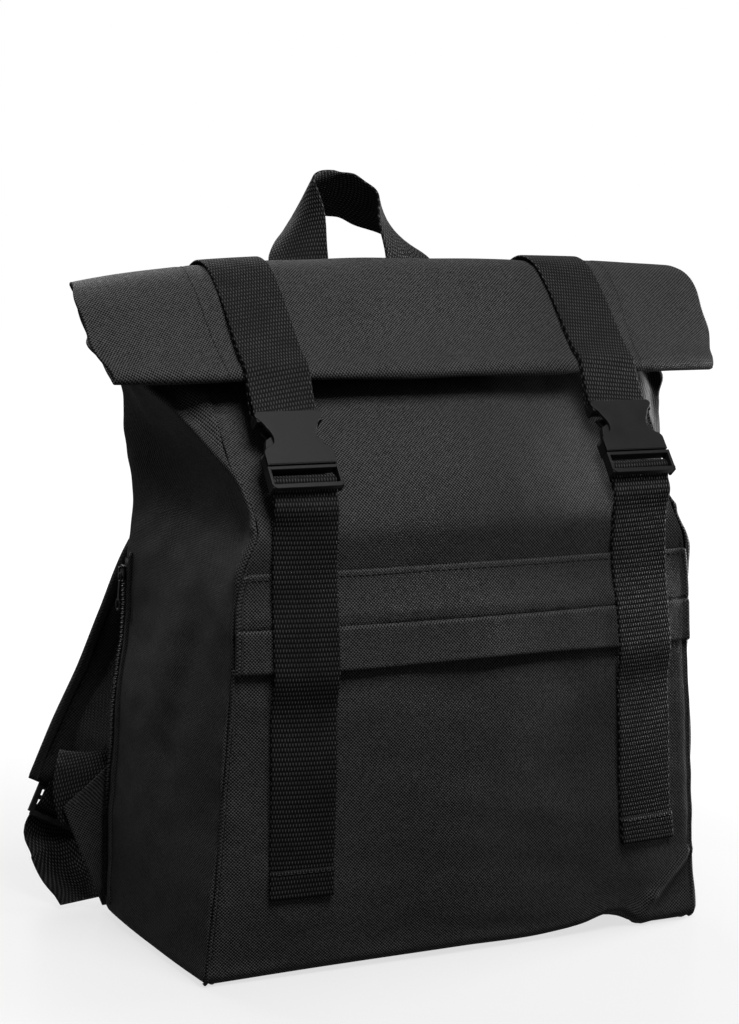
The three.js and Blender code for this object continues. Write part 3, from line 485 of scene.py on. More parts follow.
shell_cloth = woven_cloth("Bag cloth", (0.001, 0.001, 0.0012), (0.078, 0.077, 0.079))
pad_cloth = woven_cloth("Pad cloth", (0.002, 0.002, 0.0022), (0.04, 0.04, 0.042), by_uv=False)
base_cloth = woven_cloth("Base cloth", (0.003, 0.003, 0.0033), (0.03, 0.03, 0.032), thread=1.3)
black_webbing = webbing_weave("Black webbing", (0.0005, 0.0005, 0.0006), (0.07, 0.069, 0.069))
buckle_plastic = moulded_plastic("Buckle plastic", (0.0115, 0.0115, 0.0118), (0.0165, 0.0165, 0.0168), 0.44)
zip_fabric = woven_cloth("Zip fabric", (0.002, 0.002, 0.0022), (0.02, 0.02, 0.022), thread=0.6)
coil_plastic = moulded_plastic("Zip coil", (0.008, 0.008, 0.0085), (0.016, 0.016, 0.017), 0.35)
slider_metal = painted_metal("Zip slider metal", (0.012, 0.012, 0.013), (0.08, 0.08, 0.082))
# Painted shade in part: the thread's colour is kept far darker than the cloth's so that the stitch rows read as
# the shaded grooves of the seams.
black_thread_and_groove_shade = sewing_thread("Black thread", (0.001, 0.001, 0.001), (0.01, 0.01, 0.0105))


# The bag's surfaces

def section_at(z):
    """The half widths, depths and bulges of the outline at a height."""
    rows = smooth_at(SECTIONS[:, 0], SECTIONS[:, 1:], np.asarray(z, float) / NECK)
    return {key: rows[..., i] * (HALF_WIDTH if key.endswith("half") else HALF_DEPTH)
            for i, key in enumerate(SECTION_COLUMNS[1:])}


def front_y(x, z):
    s = section_at(z)
    return -s["front"] - s["front_bulge"] * dome(x, s["front_half"])


def back_y(x, z):
    s = section_at(z)
    return s["back"] + s["back_bulge"] * dome(x, s["back_half"])


SEAM_TURNS_AT = 285
SEAM_INSET = 1.5
BACK_SEAM_INSET = 12.5


def seam_half(half, z):
    """Where the side seam runs: at the corner low down, and straight up the front where the corner flares."""
    return np.minimum(half - SEAM_INSET, np.where(np.asarray(z) < SEAM_TURNS_AT, half, SEAM_AT_MOUTH))


def back_seam_half(half):
    return np.minimum(half - BACK_SEAM_INSET, SEAM_AT_MOUTH)


SEAM_PAD = 2.0
RIDGE_START = 240


def seam_pad(z):
    """How far the pocket's layers push the seam out, below the flap's top."""
    return SEAM_PAD * (1 - smoothstep(RIDGE_START - 4, RIDGE_START + 12, z))


def corner_radius(z):
    return 3.0 + 4.0 * smoothstep(235, 275, z)


def rounded(start, corner, end):
    """A quarter turn from start to end about the corner between them."""
    t = np.linspace(0, 1, 9)[:, None]
    return (1 - t) ** 2 * start + 2 * t * (1 - t) * corner + t**2 * end


BACK_CORNER = 9


def side_outline(z, inset, count):
    """The right side's outline at one height, from its front seam round to its back seam."""
    s = section_at(z)
    front_half = s["front_half"] - inset
    back_half = s["back_half"] - inset
    front = -s["front"] + inset - seam_pad(z)
    back = s["back"] - inset
    depth = back - front
    near = min(corner_radius(z), depth * 0.3)
    far = min(BACK_CORNER, depth * 0.45)

    def on_front(x):
        return np.array((x, front - s["front_bulge"] * dome(x, front_half)))

    def on_back(x):
        return np.array((x, back + s["back_bulge"] * dome(x, back_half)))

    def on_side(t):
        bow = s["side_bulge"] * 4 * t * (1 - t)
        return np.array((front_half + (back_half - front_half) * t + bow, front + depth * t))

    seam = seam_half(front_half, z)
    turn = front_half - near
    pieces = []
    if seam < turn - 0.5:
        pieces.append([on_front(x) for x in np.linspace(seam, turn, 12)[:-1]])
    else:
        turn = seam
    pieces.append(rounded(on_front(turn), np.array((front_half, front)), on_side(near / depth)))
    pieces.append([on_side(t) for t in np.linspace(near / depth, 1 - far / depth, 30)[1:-1]])
    pieces.append(rounded(on_side(1 - far / depth), np.array((back_half, back)), on_back(back_half - far)))
    pieces.append([on_back(x) for x in np.linspace(back_half - far, back_seam_half(back_half), 5)[1:]])
    return evenly(np.concatenate(pieces), count)


CURL_TURNS = np.radians([12, 28, 45, 62, 78])
WALL_HEIGHTS = np.concatenate([np.linspace(BASE_CURL, 236, 66), np.linspace(239, NECK, 84)])


def wall_rows():
    """Rows of a wall: the curl under the base as inset and height, then the wall's own heights."""
    curl = [(BASE_CURL, BASE_CURL * (1 - math.sin(a)), BASE_CURL * (1 - math.cos(a))) for a in CURL_TURNS]
    return curl + [(z, 0, z) for z in WALL_HEIGHTS]


# How far the front of the base lifts off the floor, across the front
LIFT_PLACES = (-172, -110, 0, 60, 88, 106, 116, 122, 127, 140, 172)
LIFT_HEIGHTS = (0, 1.5, 2.4, 2.6, 5.5, 9.5, 8.5, 4.5, 0.6, 0.2, 0)


def lifted(grid):
    """Raises the foot of the front where the cloth bows clear of the floor."""
    lift = smooth_at(LIFT_PLACES, LIFT_HEIGHTS, grid[..., 0])
    near_front = smoothstep(-55, -85, grid[..., 1])
    grid = grid.copy()
    grid[..., 2] += lift * near_front * bell(grid[..., 2], 26)
    return grid


TUCK_DEPTH = 1.7
TUCK_WIDTH = 3.2
STITCH_INSET = 3.6
LIP = 0.9
GROOVE = 0.8


def edge_insets(grid):
    """Distances from the two side edges of a panel."""
    run = distances(grid, 1)
    return run, run[:, -1:] - run


def tucked(grid, normal):
    """Turns the side edges of a panel in towards its seams, up to the flap's top."""
    shift = -TUCK_DEPTH * sum(np.clip(1 - inset / TUCK_WIDTH, 0, 1) ** 2 for inset in edge_insets(grid))
    shift *= smoothstep(FLAP_TOP + 12, FLAP_TOP, grid[..., 2])
    return grid + normal * shift[..., None]


def topstitched(grid, normal, top):
    """Raises a thin lip along both side edges of a panel up to a height, with a groove at its stitches."""
    shift = 0
    for inset in edge_insets(grid):
        shift = shift + LIP * (bell(inset - 1.3, 1.1) - 1.4 * bell(inset, 0.7))
        shift = shift - GROOVE * bell(inset - STITCH_INSET, 1.2)
    shift = shift * smoothstep(top + 8, top - 2, grid[..., 2])
    return grid + normal * shift[..., None]


# Folds of the left side: start, end, half width and height, outwards where positive
SIDE_FOLDS = (
    ((-184, -14, 354), (-143, -100, 272), 3.5, 2.2),
    ((-168, -34, 352), (-137, -100, 292), 7, -4.6),
    ((-152, -44, 346), (-128, -112, 284), 13, 4.0),
    ((-168, 40, 306), (-162, -28, 292), 15, -9.5),
    ((-163, -22, 284), (-164, -44, 256), 8, 4.8),
    ((-156, -70, 286), (-152, -84, 270), 9, -5.5),
    ((-150, -98, 264), (-153, -99, 248), 11, 3.6),
    ((-172, 30, 330), (-178, 10, 352), 12, 4.8),
    ((-160, 70, 292), (-163, 30, 262), 12, 3.6),
    ((-172, 0, 190), (-176, 10, 70), 34, 3.6),
    ((-166, -50, 215), (-168, -20, 130), 18, -3.2),
)
FRONT_FOLDS = (
    ((127, -93, 2), (136, -93, 20), 3.2, 3.0),
    ((136, -93, 20), (162, -93, 47), 3.6, 2.8),
    ((145, -93, 8), (158, -93, 26), 9, -3.0),
    ((112, -93, 24), (136, -93, 44), 14, 1.2),
    ((148, -93, 190), (158, -93, 60), 8, 2.2),
    ((-120, -95, 40), (-150, -93, 90), 16, 1.2),
    ((40, -100, 60), (110, -98, 20), 20, -1.6),
)


def mirrored_folds(folds):
    return [((-a[0], *a[1:]), (-b[0], *b[1:]), width, height) for a, b, width, height in folds]


PANEL_THICKNESS = 1.3
WAVE = 85
SMALL_WAVE = 24
SMALL_WAVE_HEIGHT = 0.22
CALM_BELOW = 14


def panel(name, grid, across, replaces, seed, wave, folds=(), sewn=0):
    """One cloth panel of the bag, given folds, slow waves and edges that turn in at its seams."""
    normal = grid_normals(grid)
    up = distances(grid, 0)
    up = np.broadcast_to(up[:, up.shape[1] // 2, None], up.shape)
    shift = fold_shift(grid, folds) + wave * undulation(across, up, WAVE, seed)
    shift += SMALL_WAVE_HEIGHT * undulation(across, up, SMALL_WAVE, seed + 50)
    grid = grid + normal * (shift * smoothstep(0, CALM_BELOW, grid[..., 2]))[..., None]
    grid = lifted(topstitched(grid, normal, sewn) if sewn else tucked(grid, normal))
    quads, _ = grid_quads(*up.shape)
    uv = np.stack([across, up], axis=-1).reshape(-1, 2)[quads.ravel()]
    piece = mesh_object(name, grid.reshape(-1, 3), quads.tolist(), shell_cloth, uv, replaces)
    solid = piece.modifiers.new("Thickness", "SOLIDIFY")
    solid.thickness = PANEL_THICKNESS * MM
    solid.offset = -1
    return grid


# The front, back, side and base panels

EDGE_COLUMNS = np.linspace(0.94, 1, 13)
FRONT_COLUMNS = np.concatenate([-EDGE_COLUMNS[::-1], np.linspace(-0.94, 0.94, 80)[1:-1], EDGE_COLUMNS])
SIDE_COLUMNS = 110
BASE_HEIGHT = 1.4


def front_grid():
    rows = []
    for z, inset, height in wall_rows():
        x = FRONT_COLUMNS * seam_half(section_at(z)["front_half"] - inset, z)
        rows.append(level_row(x, front_y(x, z) + inset, height))
    return np.array(rows)


def back_grid():
    rows = []
    for z, inset, height in wall_rows():
        x = -FRONT_COLUMNS * back_seam_half(section_at(z)["back_half"] - inset)
        rows.append(level_row(x, back_y(x, z) - inset, height))
    return np.array(rows)


def side_grid(side):
    rows = []
    for z, inset, height in wall_rows():
        line = side_outline(z, inset, SIDE_COLUMNS)
        rows.append(level_row(side * line[:, 0], line[:, 1], height))
    grid = np.array(rows)
    return grid if side > 0 else grid[:, ::-1]


def walls():
    """The front, back and side cloths; gives back the shaped grids of the back and of the left side."""
    front = front_grid()
    panel("front_cloth", front, front[..., 0], ("front_panel",), seed=3, wave=0.5, sewn=FLAP_TOP)
    back = back_grid()
    back = panel("back_cloth", back, back[..., 0], ("back_panel",), seed=5, wave=1.2, sewn=NECK)
    skins = []
    for name, side, folds in (("left", -1, SIDE_FOLDS), ("right", 1, mirrored_folds(SIDE_FOLDS))):
        grid = side_grid(side)
        girth = distances(grid, 1)
        skins.append(panel(f"{name}_side_cloth", grid, girth - girth[:, -1:] * 0.5, (f"{name}_gusset",),
                           seed=8 + side, wave=1.1, folds=folds))
    return back, skins[0]


def base():
    """The bag's floor, inside the curl of the walls and lifted with them at the front."""
    widest = side_outline(BASE_CURL, BASE_CURL + 0.4, 60)[:, 0].max() - 0.5
    rows = []
    for t in np.linspace(-0.995, 0.995, 64):
        half = np.interp(abs(t), (0, 0.93, 1), (1, 1, 0.985)) * widest
        rows.append(level_row(np.linspace(-half, half, 90), t * (HALF_DEPTH - BASE_CURL - 1.5), BASE_HEIGHT))
    grid = np.array(rows)
    grid[..., 2] += 0.21 * (1 + undulation(grid[..., 0], grid[..., 1], 120, 21))
    band("base_cloth", lifted(grid), 1.6, base_cloth, ("base_panel",))


back_skin, left_skin = walls()
base()


# The front pocket and its flap

POCKET_FULLNESS = 7
POCKET_FOOT = 9
POCKET_ARC = 0.78 * math.pi
FLAP_HEIGHTS = np.concatenate([
    np.linspace(FLAP_FOOT, HEM_HEIGHT - 2.2, 18),
    np.linspace(HEM_HEIGHT - 1.5, HEM_HEIGHT + 1.5, 7),
    np.linspace(HEM_HEIGHT + 2, FLAP_TOP, 26),
])
FLAP_CLEARANCE = 1.2
FLAP_BOW = 2.6
HEM_STEP = 0.9


def pocket_half(z):
    return seam_half(section_at(z)["front_half"], z)


def pocket_y(x, z):
    rise = np.maximum(0, (z - POCKET_FOOT) / (POCKET_TOP - POCKET_FOOT))
    fullness = POCKET_FULLNESS * dome(x, pocket_half(z)) * np.sin(POCKET_ARC * rise)
    return front_y(x, z) - GAP - CLOTH - fullness


def flap_y(x, z):
    over = np.minimum(1, (FLAP_TOP - z) / (FLAP_TOP - FLAP_FOOT) / 0.45)
    top = front_y(x, z) - GAP - CLOTH
    low = pocket_y(x, np.minimum(z, POCKET_TOP)) - GAP - CLOTH - FLAP_CLEARANCE
    return np.minimum(top, top + (low - top) * over)


def pocket_cloth():
    rows = []
    x = FRONT_COLUMNS * pocket_half(BASE_CURL)
    for angle in CURL_TURNS[1:]:
        y = front_y(x, BASE_CURL) + BASE_CURL * (1 - math.sin(angle)) - (GAP + CLOTH) * math.sin(angle)
        rows.append(level_row(x, y, max(0.5, BASE_CURL * (1 - math.cos(angle)))))
    for z in np.linspace(BASE_CURL + 0.5, POCKET_TOP, 70):
        x = FRONT_COLUMNS * pocket_half(z)
        rows.append(level_row(x, pocket_y(x, z), z))
    grid = np.array(rows)
    return panel("pocket_cloth", grid, grid[..., 0], ("pocket_panel",), seed=31, wave=0.9, folds=FRONT_FOLDS,
                 sewn=FLAP_TOP)


def flap_cloth():
    """The flap: sewn down at its sides, with a sewn hem above its foot, which stands off the pocket."""
    rows = []
    for z in FLAP_HEIGHTS:
        half = pocket_half(z) - 0.4
        x = FRONT_COLUMNS * half
        down = (FLAP_TOP - z) / (FLAP_TOP - FLAP_FOOT)
        y = flap_y(x, z) + 1.0 - FLAP_BOW * dome(x, half) * down**2
        y = y - HEM_STEP * (smoothstep(HEM_HEIGHT + 1, HEM_HEIGHT - 1.5, z) - bell(z - HEM_HEIGHT - 0.6, 1.1))
        rise = 0.84 * np.sin((x + 40) / 120 * math.pi) * smoothstep(FLAP_FOOT + 25, FLAP_FOOT, z)
        rows.append(level_row(x, y, z + rise))
    grid = np.array(rows)
    normal = grid_normals(grid)
    pucker = 0.35 * np.sin(grid[..., 0] / 3.1) * bell(grid[..., 2] - HEM_HEIGHT, 6)
    pucker = pucker * (0.4 + np.abs(undulation(grid[..., 0], grid[..., 2], 60, 4)))
    shift = pucker + 0.7 * undulation(grid[..., 0], grid[..., 2], 70, 44)
    grid = topstitched(grid + normal * shift[..., None], normal, FLAP_TOP + 10)
    band("flap_cloth", grid, 2.0, shell_cloth, ("pocket_flap",), uv_shift=(5, 11))
    return grid


pocket_skin = pocket_cloth()
flap_skin = flap_cloth()


# The rolled mouth

def roll_point(turns, x):
    """Places across the roll at one x, or at an x for each, as rows of y and z."""
    end = np.minimum(1, np.abs(x) / ROLL_HALF) ** 3
    sweep = NECK_SWEEP * np.minimum(1, np.abs(x) / (NECK_HALF * HALF_WIDTH)) ** 2
    middle = NECK_BACK - ROLL_REACH * ROLL_MIDDLE
    y = NECK_BACK - turns[:, 0] * ROLL_REACH
    shrink = np.where(y < middle, 1 - ROLL_END_SHRINK * end, 1 - sweep / (NECK_BACK - middle))
    y = middle + (y - middle) * shrink
    sag = np.where(np.asarray(x) < 0, ROLL_LEFT_DROOP, ROLL_RIGHT_DROOP)
    droop = 1 - sag * end * np.maximum(0, turns[:, 1])
    z = NECK + 0.8 + ROLL_BAND / 2 + ROLL_RISE * (ROLL_LOWEST + (turns[:, 1] - ROLL_LOWEST) * droop)
    return np.stack([y, z], axis=1)


ROLL_STEPS = 150
ROLL_END_SHARES = np.array([0.987, 0.994, 0.998, 1])
ROLL_SHARES = np.concatenate([-ROLL_END_SHARES[::-1], np.linspace(-0.978, 0.978, 110), ROLL_END_SHARES])
MIDDLE_COLUMN = 60
ROLL_SEAM = 143
ROLL_SEAM_DEPTH = 0.55


def rolled_mouth():
    """The rolled cloth; gives back its grid and the directions out of it."""
    columns = []
    for share in ROLL_SHARES:
        x = share * ROLL_HALF * ROLL_WIDE - ROLL_ASKEW * share**2
        columns.append(even_line(np.column_stack([x, roll_point(ROLL_TURNS, x)]), ROLL_STEPS))
    grid = np.array(columns).transpose(1, 0, 2)
    t = np.linspace(0, 1, ROLL_STEPS)[:, None]
    ragged = 1.6 * np.sin(t * 23) + 1.1 * np.sin(t * 51 + 1)
    grid[..., 0] += np.sign(ROLL_SHARES) * np.abs(ROLL_SHARES) ** 12 * ragged
    normal = grid_normals(grid)
    outward = normal * np.sign(normal[5, MIDDLE_COLUMN, 1])
    shift = 0.8 * undulation(grid[..., 0], t * lengths(grid[:, MIDDLE_COLUMN]).max(), 95, 61)
    for offset in (-STRAP_OFFSET, STRAP_OFFSET):
        shift -= np.exp(-(((grid[..., 0] - offset) / 22) ** 4)) * (t < 0.5)
    for seam in (-ROLL_SEAM, ROLL_SEAM):
        shift -= ROLL_SEAM_DEPTH * bell(grid[..., 0] - seam, 1.4)
    grid = grid + outward * shift[..., None]
    inside_neck = grid[:1] - (0, 0.5, 8)
    band("rolled_mouth", np.concatenate([inside_neck, grid]), 2.3, shell_cloth, ("roll_top",),
         uv_shift=(3, 7))
    return grid, outward


roll_skin, roll_out = rolled_mouth()


# Webbing of the two closures

LANES = (("left", -STRAP_OFFSET), ("right", STRAP_OFFSET))
BUCKLE_Y = float(front_y(STRAP_OFFSET, BUCKLE_HEIGHT - 4)) - BUCKLE_STANDOFF
SEWN_GAP = 0.5
CLOSURE_ON_BACK = (0.87, 0.891, 0.936, 0.963, 0.984, 0.998)
ANCHORS = (FLAP_TOP + 4, FLAP_TOP + 10, FLAP_TOP + 23.5)
# The tail's way into the frame and out of it, as y in the buckle's frame and height above the frame's bar
TAIL_IN = ((6.2, -17), (4.4, -7))
TAIL_OUT = ((-1.2, -4.2), (1.6, -8.5), (2.9, -14))
TAIL_ON_FLAP = (FLAP_TOP - 2, FLAP_TOP - 17, FLAP_TOP - 33, FLAP_TOP - 47, FLAP_FOOT - 2)
TAIL_ON_POCKET = FLAP_FOOT - 22
# Each tail: its side, middle, lower end, drift to the right on its way down, and sideways waves
TAILS = (("left", -STRAP_OFFSET, 51, 0, 0), ("right", STRAP_OFFSET, 59, 13, 1.2))
HEM_ROWS = 16


def on_buckle(y, z):
    """A place in the buckle's own frame as y and z of the bag; its z runs up the strap, its -y faces out."""
    cos, sin = math.cos(BUCKLE_TILT), math.sin(BUCKLE_TILT)
    return (BUCKLE_Y + y * cos + z * sin, BUCKLE_HEIGHT - y * sin + z * cos)


def round_bar(z, start, end):
    turns = np.radians(np.linspace(start, end, 9))
    return [on_buckle(BAR_LOOP * math.cos(a), z + BAR_LOOP * math.sin(a)) for a in turns]


def closure_line(x):
    """A closure strap: sewn to the back, over the roll, round the socket's bar and back up behind itself."""
    roll = roll_point(ROLL_TURNS[:ROLL_OUTER_TURNS], x)
    along = np.gradient(roll, axis=0)
    outward = unit(np.stack([along[:, 1], -along[:, 0]], axis=1))
    on_roll = ROLL_BAND / 2 + SEWN_GAP + STRAP_HALF
    line = [(float(back_y(x, share * NECK)) + 0.9 + STRAP_HALF, share * NECK) for share in CLOSURE_ON_BACK]
    for i in range(1, len(roll)):
        distance = on_roll + (STRAP_THICKNESS + GAP if i >= STRAP_DOUBLED_FROM else 0)
        line.append(tuple(roll[i] + outward[i] * distance))
    line.append(on_buckle(-BAR_LOOP, 4.5))
    line += round_bar(0, 180, 360)
    for i in range(len(roll) - 1, STRAP_DOUBLED_FROM - 1, -1):
        line.append(tuple(roll[i] + outward[i] * on_roll))
    return [(x, y, z) for y, z in line]


def tail_line(x, end, drift):
    """A lower strap: sewn above the flap, up behind the frame, over its bar and down as a free tail."""
    def hanging(surface, z, standoff):
        lane = x + drift * min(1, max(0, (FLAP_TOP - z) / (FLAP_TOP - end)))
        return lane, float(surface(lane, z)) - standoff - STRAP_HALF, z

    line = [(x, float(front_y(x, z)) - SEWN_GAP - STRAP_HALF, z) for z in ANCHORS]
    line += [(x, *on_buckle(y, TAIL_BAR + up)) for y, up in TAIL_IN]
    line += [(x, y, z) for y, z in round_bar(TAIL_BAR, 0, 180)]
    line += [(x, *on_buckle(y, TAIL_BAR + up)) for y, up in TAIL_OUT]
    over = ANCHORS[2] + 3
    line.append((x, float(front_y(x, over)) - SEWN_GAP - STRAP_THICKNESS - STRAP_HALF - 1.6, over))
    for z in TAIL_ON_FLAP:
        down = min(1, (FLAP_TOP - z) / (FLAP_TOP - FLAP_FOOT))
        line.append(hanging(flap_y, z, 0.9 + 2.0 * down**2))
    for share in (0, 0.3, 0.6, 0.8, 1):
        line.append(hanging(pocket_y, TAIL_ON_POCKET + (end - TAIL_ON_POCKET) * share, 1.9))
    return line


def web_grid(centre, count, make, *details):
    """A strap's grid from the line that `make` gives for each x across its width."""
    lanes = [even_line(make(centre + share * STRAP_WIDTH, *details), count) for share in WEB_SHARES]
    return np.array(lanes).transpose(1, 0, 2)


def webbing(name, grid, replaces=(), thickness=STRAP_THICKNESS, uv_shift=(0, 0)):
    band(name, grid, thickness, black_webbing, replaces, uv_shift=uv_shift)


def closure_straps():
    for name, centre in LANES:
        webbing(f"closure_webbing_{name}", web_grid(centre, 230, closure_line), (f"closure_strap_{name}",))


def tail_straps():
    """The two tails with the folds at their ends; gives back a line across the face of each fold."""
    hems = []
    for name, centre, end, drift, sway in TAILS:
        grid = web_grid(centre, 260, tail_line, end, drift)
        down = smoothstep(FLAP_FOOT, end, grid[..., 2])
        grid[..., 1] -= 0.6 * np.sin(grid[..., 2] / 17) * down
        grid[..., 0] += sway * np.sin(grid[..., 2] / 24) * down
        webbing(f"tail_webbing_{name}", grid, (f"tail_strap_{name}",))
        hem = grid[-HEM_ROWS:]
        lift = grid_normals(hem)
        lift *= -np.sign(lift[..., 1].mean())
        fold = hem + lift * (STRAP_THICKNESS + 0.1)
        hems.append((fold + lift * STRAP_HALF)[1:4].mean(axis=0))
        webbing(f"tail_hem_{name}", fold, uv_shift=(0.9, 1.2))
    return hems


closure_straps()
tail_hems = tail_straps()


# The buckles

def hard_piece(name, parts, place, material, replaces, edge=0.5):
    """Joins parts made in a frame of their own, puts each point where `place` says and rounds their edges."""
    mesh = bmesh.new()
    for part in parts:
        part(mesh)
    for vertex in mesh.verts:
        vertex.co = Vector(place(vertex.co)) * MM
    bmesh.ops.recalc_face_normals(mesh, faces=mesh.faces)
    data = bpy.data.meshes.new(name)
    mesh.to_mesh(data)
    mesh.free()
    piece = placed(name, data, material, (replaces,))
    bevel = piece.modifiers.new("Rounded edges", "BEVEL")
    bevel.width = edge * MM
    bevel.segments = 3
    bevel.limit_method = "ANGLE"
    bevel.angle_limit = math.radians(38)
    bevel.harden_normals = True


def slab(outline, y0, y1):
    """A plate of the outline's shape in x and z, from y0 to y1."""
    def build(mesh):
        low = [mesh.verts.new((x, y0, z)) for x, z in outline]
        high = [mesh.verts.new((x, y1, z)) for x, z in outline]
        count = len(outline)
        mesh.faces.new(low)
        mesh.faces.new(high[::-1])
        for i in range(count):
            j = (i + 1) % count
            mesh.faces.new((low[i], high[i], high[j], low[j]))
    return build


def block(x0, x1, y0, y1, z0, z1):
    return slab([(x0, z0), (x1, z0), (x1, z1), (x0, z1)], y0, y1)


def round_rod(radius, half, z):
    def build(mesh):
        rings = []
        for x in (-half, half):
            ring = [mesh.verts.new((x, radius * math.cos(a), z + radius * math.sin(a)))
                    for a in np.linspace(0, 2 * math.pi, 20, endpoint=False)]
            rings.append(ring)
        mesh.faces.new(rings[0])
        mesh.faces.new(rings[1][::-1])
        for i in range(20):
            j = (i + 1) % 20
            mesh.faces.new((rings[0][i], rings[1][i], rings[1][j], rings[0][j]))
    return build


# The right half of the socket's face from its top: out as a share of the buckle's half width, and up
# from the bar
SOCKET_FACE = (
    (0.87, 3.6), (0.94, 2.4), (0.955, 0.6), (0.90, -1.6), (0.79, -4.4), (0.72, -7.6), (0.63, -11.4),
    (0.60, -15.2), (0.64, -18.2), (0.76, -20.0), (0.88, -21.4), (0.955, -23.6), (0.965, -26.4),
)


def socket_outline():
    """The waisted outline of the socket's face: wings at the bar, a waist, and a wide foot."""
    right = np.array(SOCKET_FACE) * (BUCKLE_HALF, 1)
    knots = lengths(right)
    curve = smooth_at(knots, right, np.linspace(0, knots[-1], 38))
    points = [tuple(p) for p in curve] + [(BUCKLE_HALF * 0.965, -SOCKET_LENGTH)]
    return points + [(-x, z) for x, z in points[::-1]]


def socket_parts():
    outline = socket_outline()
    face = BUCKLE_FACE
    back = face + SOCKET_THICKNESS
    outer = BUCKLE_HALF * 0.965
    foot = -SOCKET_LENGTH
    parts = [slab(outline, face, face + PLATE), slab([p for p in outline if p[1] < -6], back - PLATE, back)]
    for side in (-1, 1):
        parts.append(block(side * (outer - 2.2), side * outer, face + 0.4, back - 0.4, foot, -25))
        parts.append(block(side * (outer - 3), side * (outer - 0.9), face + 0.6, back, -3.4, 2.6))
    waist = BUCKLE_WAIST - 0.8
    lip = BUCKLE_HALF * 0.93
    parts.append(block(-waist, waist, face + PLATE - 0.5, back - 0.6, -9, -6.2))
    parts.append(round_rod(BAR_RADIUS, BUCKLE_HALF - 1.4, 0))
    parts.append(block(-lip, lip, face - 0.25, face + 0.5, foot + 0.4, foot + 1.2))
    return parts


# One prong: out from the middle, and down from the bar
PRONG = (
    (11.8, -34.5), (15.4, -34.5), (18.0, -27.5), (19.2, -23.5), (19.0, -19.5), (17.6, -14.5), (13.4, -12),
    (12.0, -18),
)
PRONG_THICKNESS = 4.2
# The frame's rounded lower edge: in from its side, and up from its foot
FRAME_FOOT = ((0, 3.2), (0.4, 1.4), (2.4, 0))


def frame_parts():
    top = -SOCKET_LENGTH - 0.7
    foot = top - FRAME_LENGTH
    face = BUCKLE_FACE
    back = face + FRAME_THICKNESS
    inside = face + PLATE + GAP
    inner = STRAP_WIDTH / 2 + 0.6
    brow = BUCKLE_HALF - 0.4
    lip = [(BUCKLE_HALF - shy, foot + up) for shy, up in FRAME_FOOT]
    parts = [block(side * inner, side * BUCKLE_HALF, face + 0.1, back, foot + 0.6, top) for side in (-1, 1)]
    parts.append(slab([(-x, z) for x, z in lip] + lip[::-1], face - 0.5, face + 3.2))
    parts.append(block(-brow, brow, face + 0.3, back - 0.4, top - 2.4, top))
    parts.append(round_rod(BAR_RADIUS, inner + 1.5, TAIL_BAR))
    for side in (-1, 1):
        parts.append(slab([(side * x, z) for x, z in PRONG], inside, inside + PRONG_THICKNESS))
    parts.append(block(-4, 4, face + PLATE + 0.6, face + PLATE + 4.0, -22, top))
    return parts


def buckles():
    for name, centre in LANES:
        def hang(co):
            return (centre + co.x, *on_buckle(co.y, co.z))

        for part, parts, node in (("case", socket_parts(), "socket"), ("tongue", frame_parts(), "frame")):
            hard_piece(f"buckle_{part}_{name}", parts, hang, buckle_plastic,
                       f"buckle_{node}_{name}")


buckles()


# The grab handle

# Each half of the handle from its top, in shares of its spread and rise, with the webbing's turn in degrees
HANDLE_LEFT = (
    (0, 0.38, 0.875, 88),
    (0.2, 0.35, 0.885, 88),
    (0.5, 0.31, 0.875, 88),
    (0.7, 0.26, 0.835, 84),
    (0.8, 0.2, 0.75, 68),
    (0.88, 0.15, 0.66, 48),
    (1, 0.07, 0.5, 20),
    (1.02, 0.02, 0.4, 5),
    (1, 0, 0.25, 0),
    (1, 0, 0.1, 0),
)
HANDLE_RIGHT = (
    (0, 0.38, 0.875, 88),
    (0.24, 0.37, 0.865, 87),
    (0.44, 0.35, 0.82, 84),
    (0.69, 0.27, 0.76, 70),
    (0.88, 0.16, 0.62, 36),
    (1.02, 0.06, 0.46, 13),
    (1.02, 0.01, 0.3, 3),
    (1, 0, 0.1, 0),
)
HANDLE_SPREAD = 40
HANDLE_RISE = 105
HANDLE_BACK = 61
HANDLE_LEAN = math.radians(45)


def handle_half(table):
    half = []
    for out, back, up, turn in table:
        a = math.radians(turn)
        at = (out * HANDLE_SPREAD, HANDLE_BACK + back * HANDLE_RISE, NECK + up * HANDLE_RISE)
        half.append((at, (math.cos(a), math.sin(a) * math.sin(HANDLE_LEAN), -math.sin(a) * math.cos(HANDLE_LEAN))))
    for share in (0.965, 0.92):
        z = share * NECK
        y = float(back_y(HANDLE_SPREAD - STRAP_WIDTH / 2, z)) + GAP + STRAP_HALF + 0.2
        half.append(((HANDLE_SPREAD, y, z), (1, 0, 0)))
    return half


def grab_handle():
    left = handle_half(HANDLE_LEFT)[:0:-1]
    stations = [((-p[0], p[1], p[2]), (q[0], -q[1], -q[2])) for p, q in left] + handle_half(HANDLE_RIGHT)
    centre, across = np.array(stations).transpose(1, 0, 2)
    for i in range(1, len(across)):
        if across[i] @ across[i - 1] < 0:
            across[i] = -across[i]
    knots = lengths(centre)
    at = np.linspace(0, knots[-1], 150)
    line = smooth_at(knots, centre, at)
    grid = strip_from(line, unit(smooth_at(knots, across, at)), STRAP_WIDTH, WEB_SHARES)
    webbing("handle_webbing", grid, ("grab_handle",))


grab_handle()


# The shoulder straps, made for the left and mirrored for the right

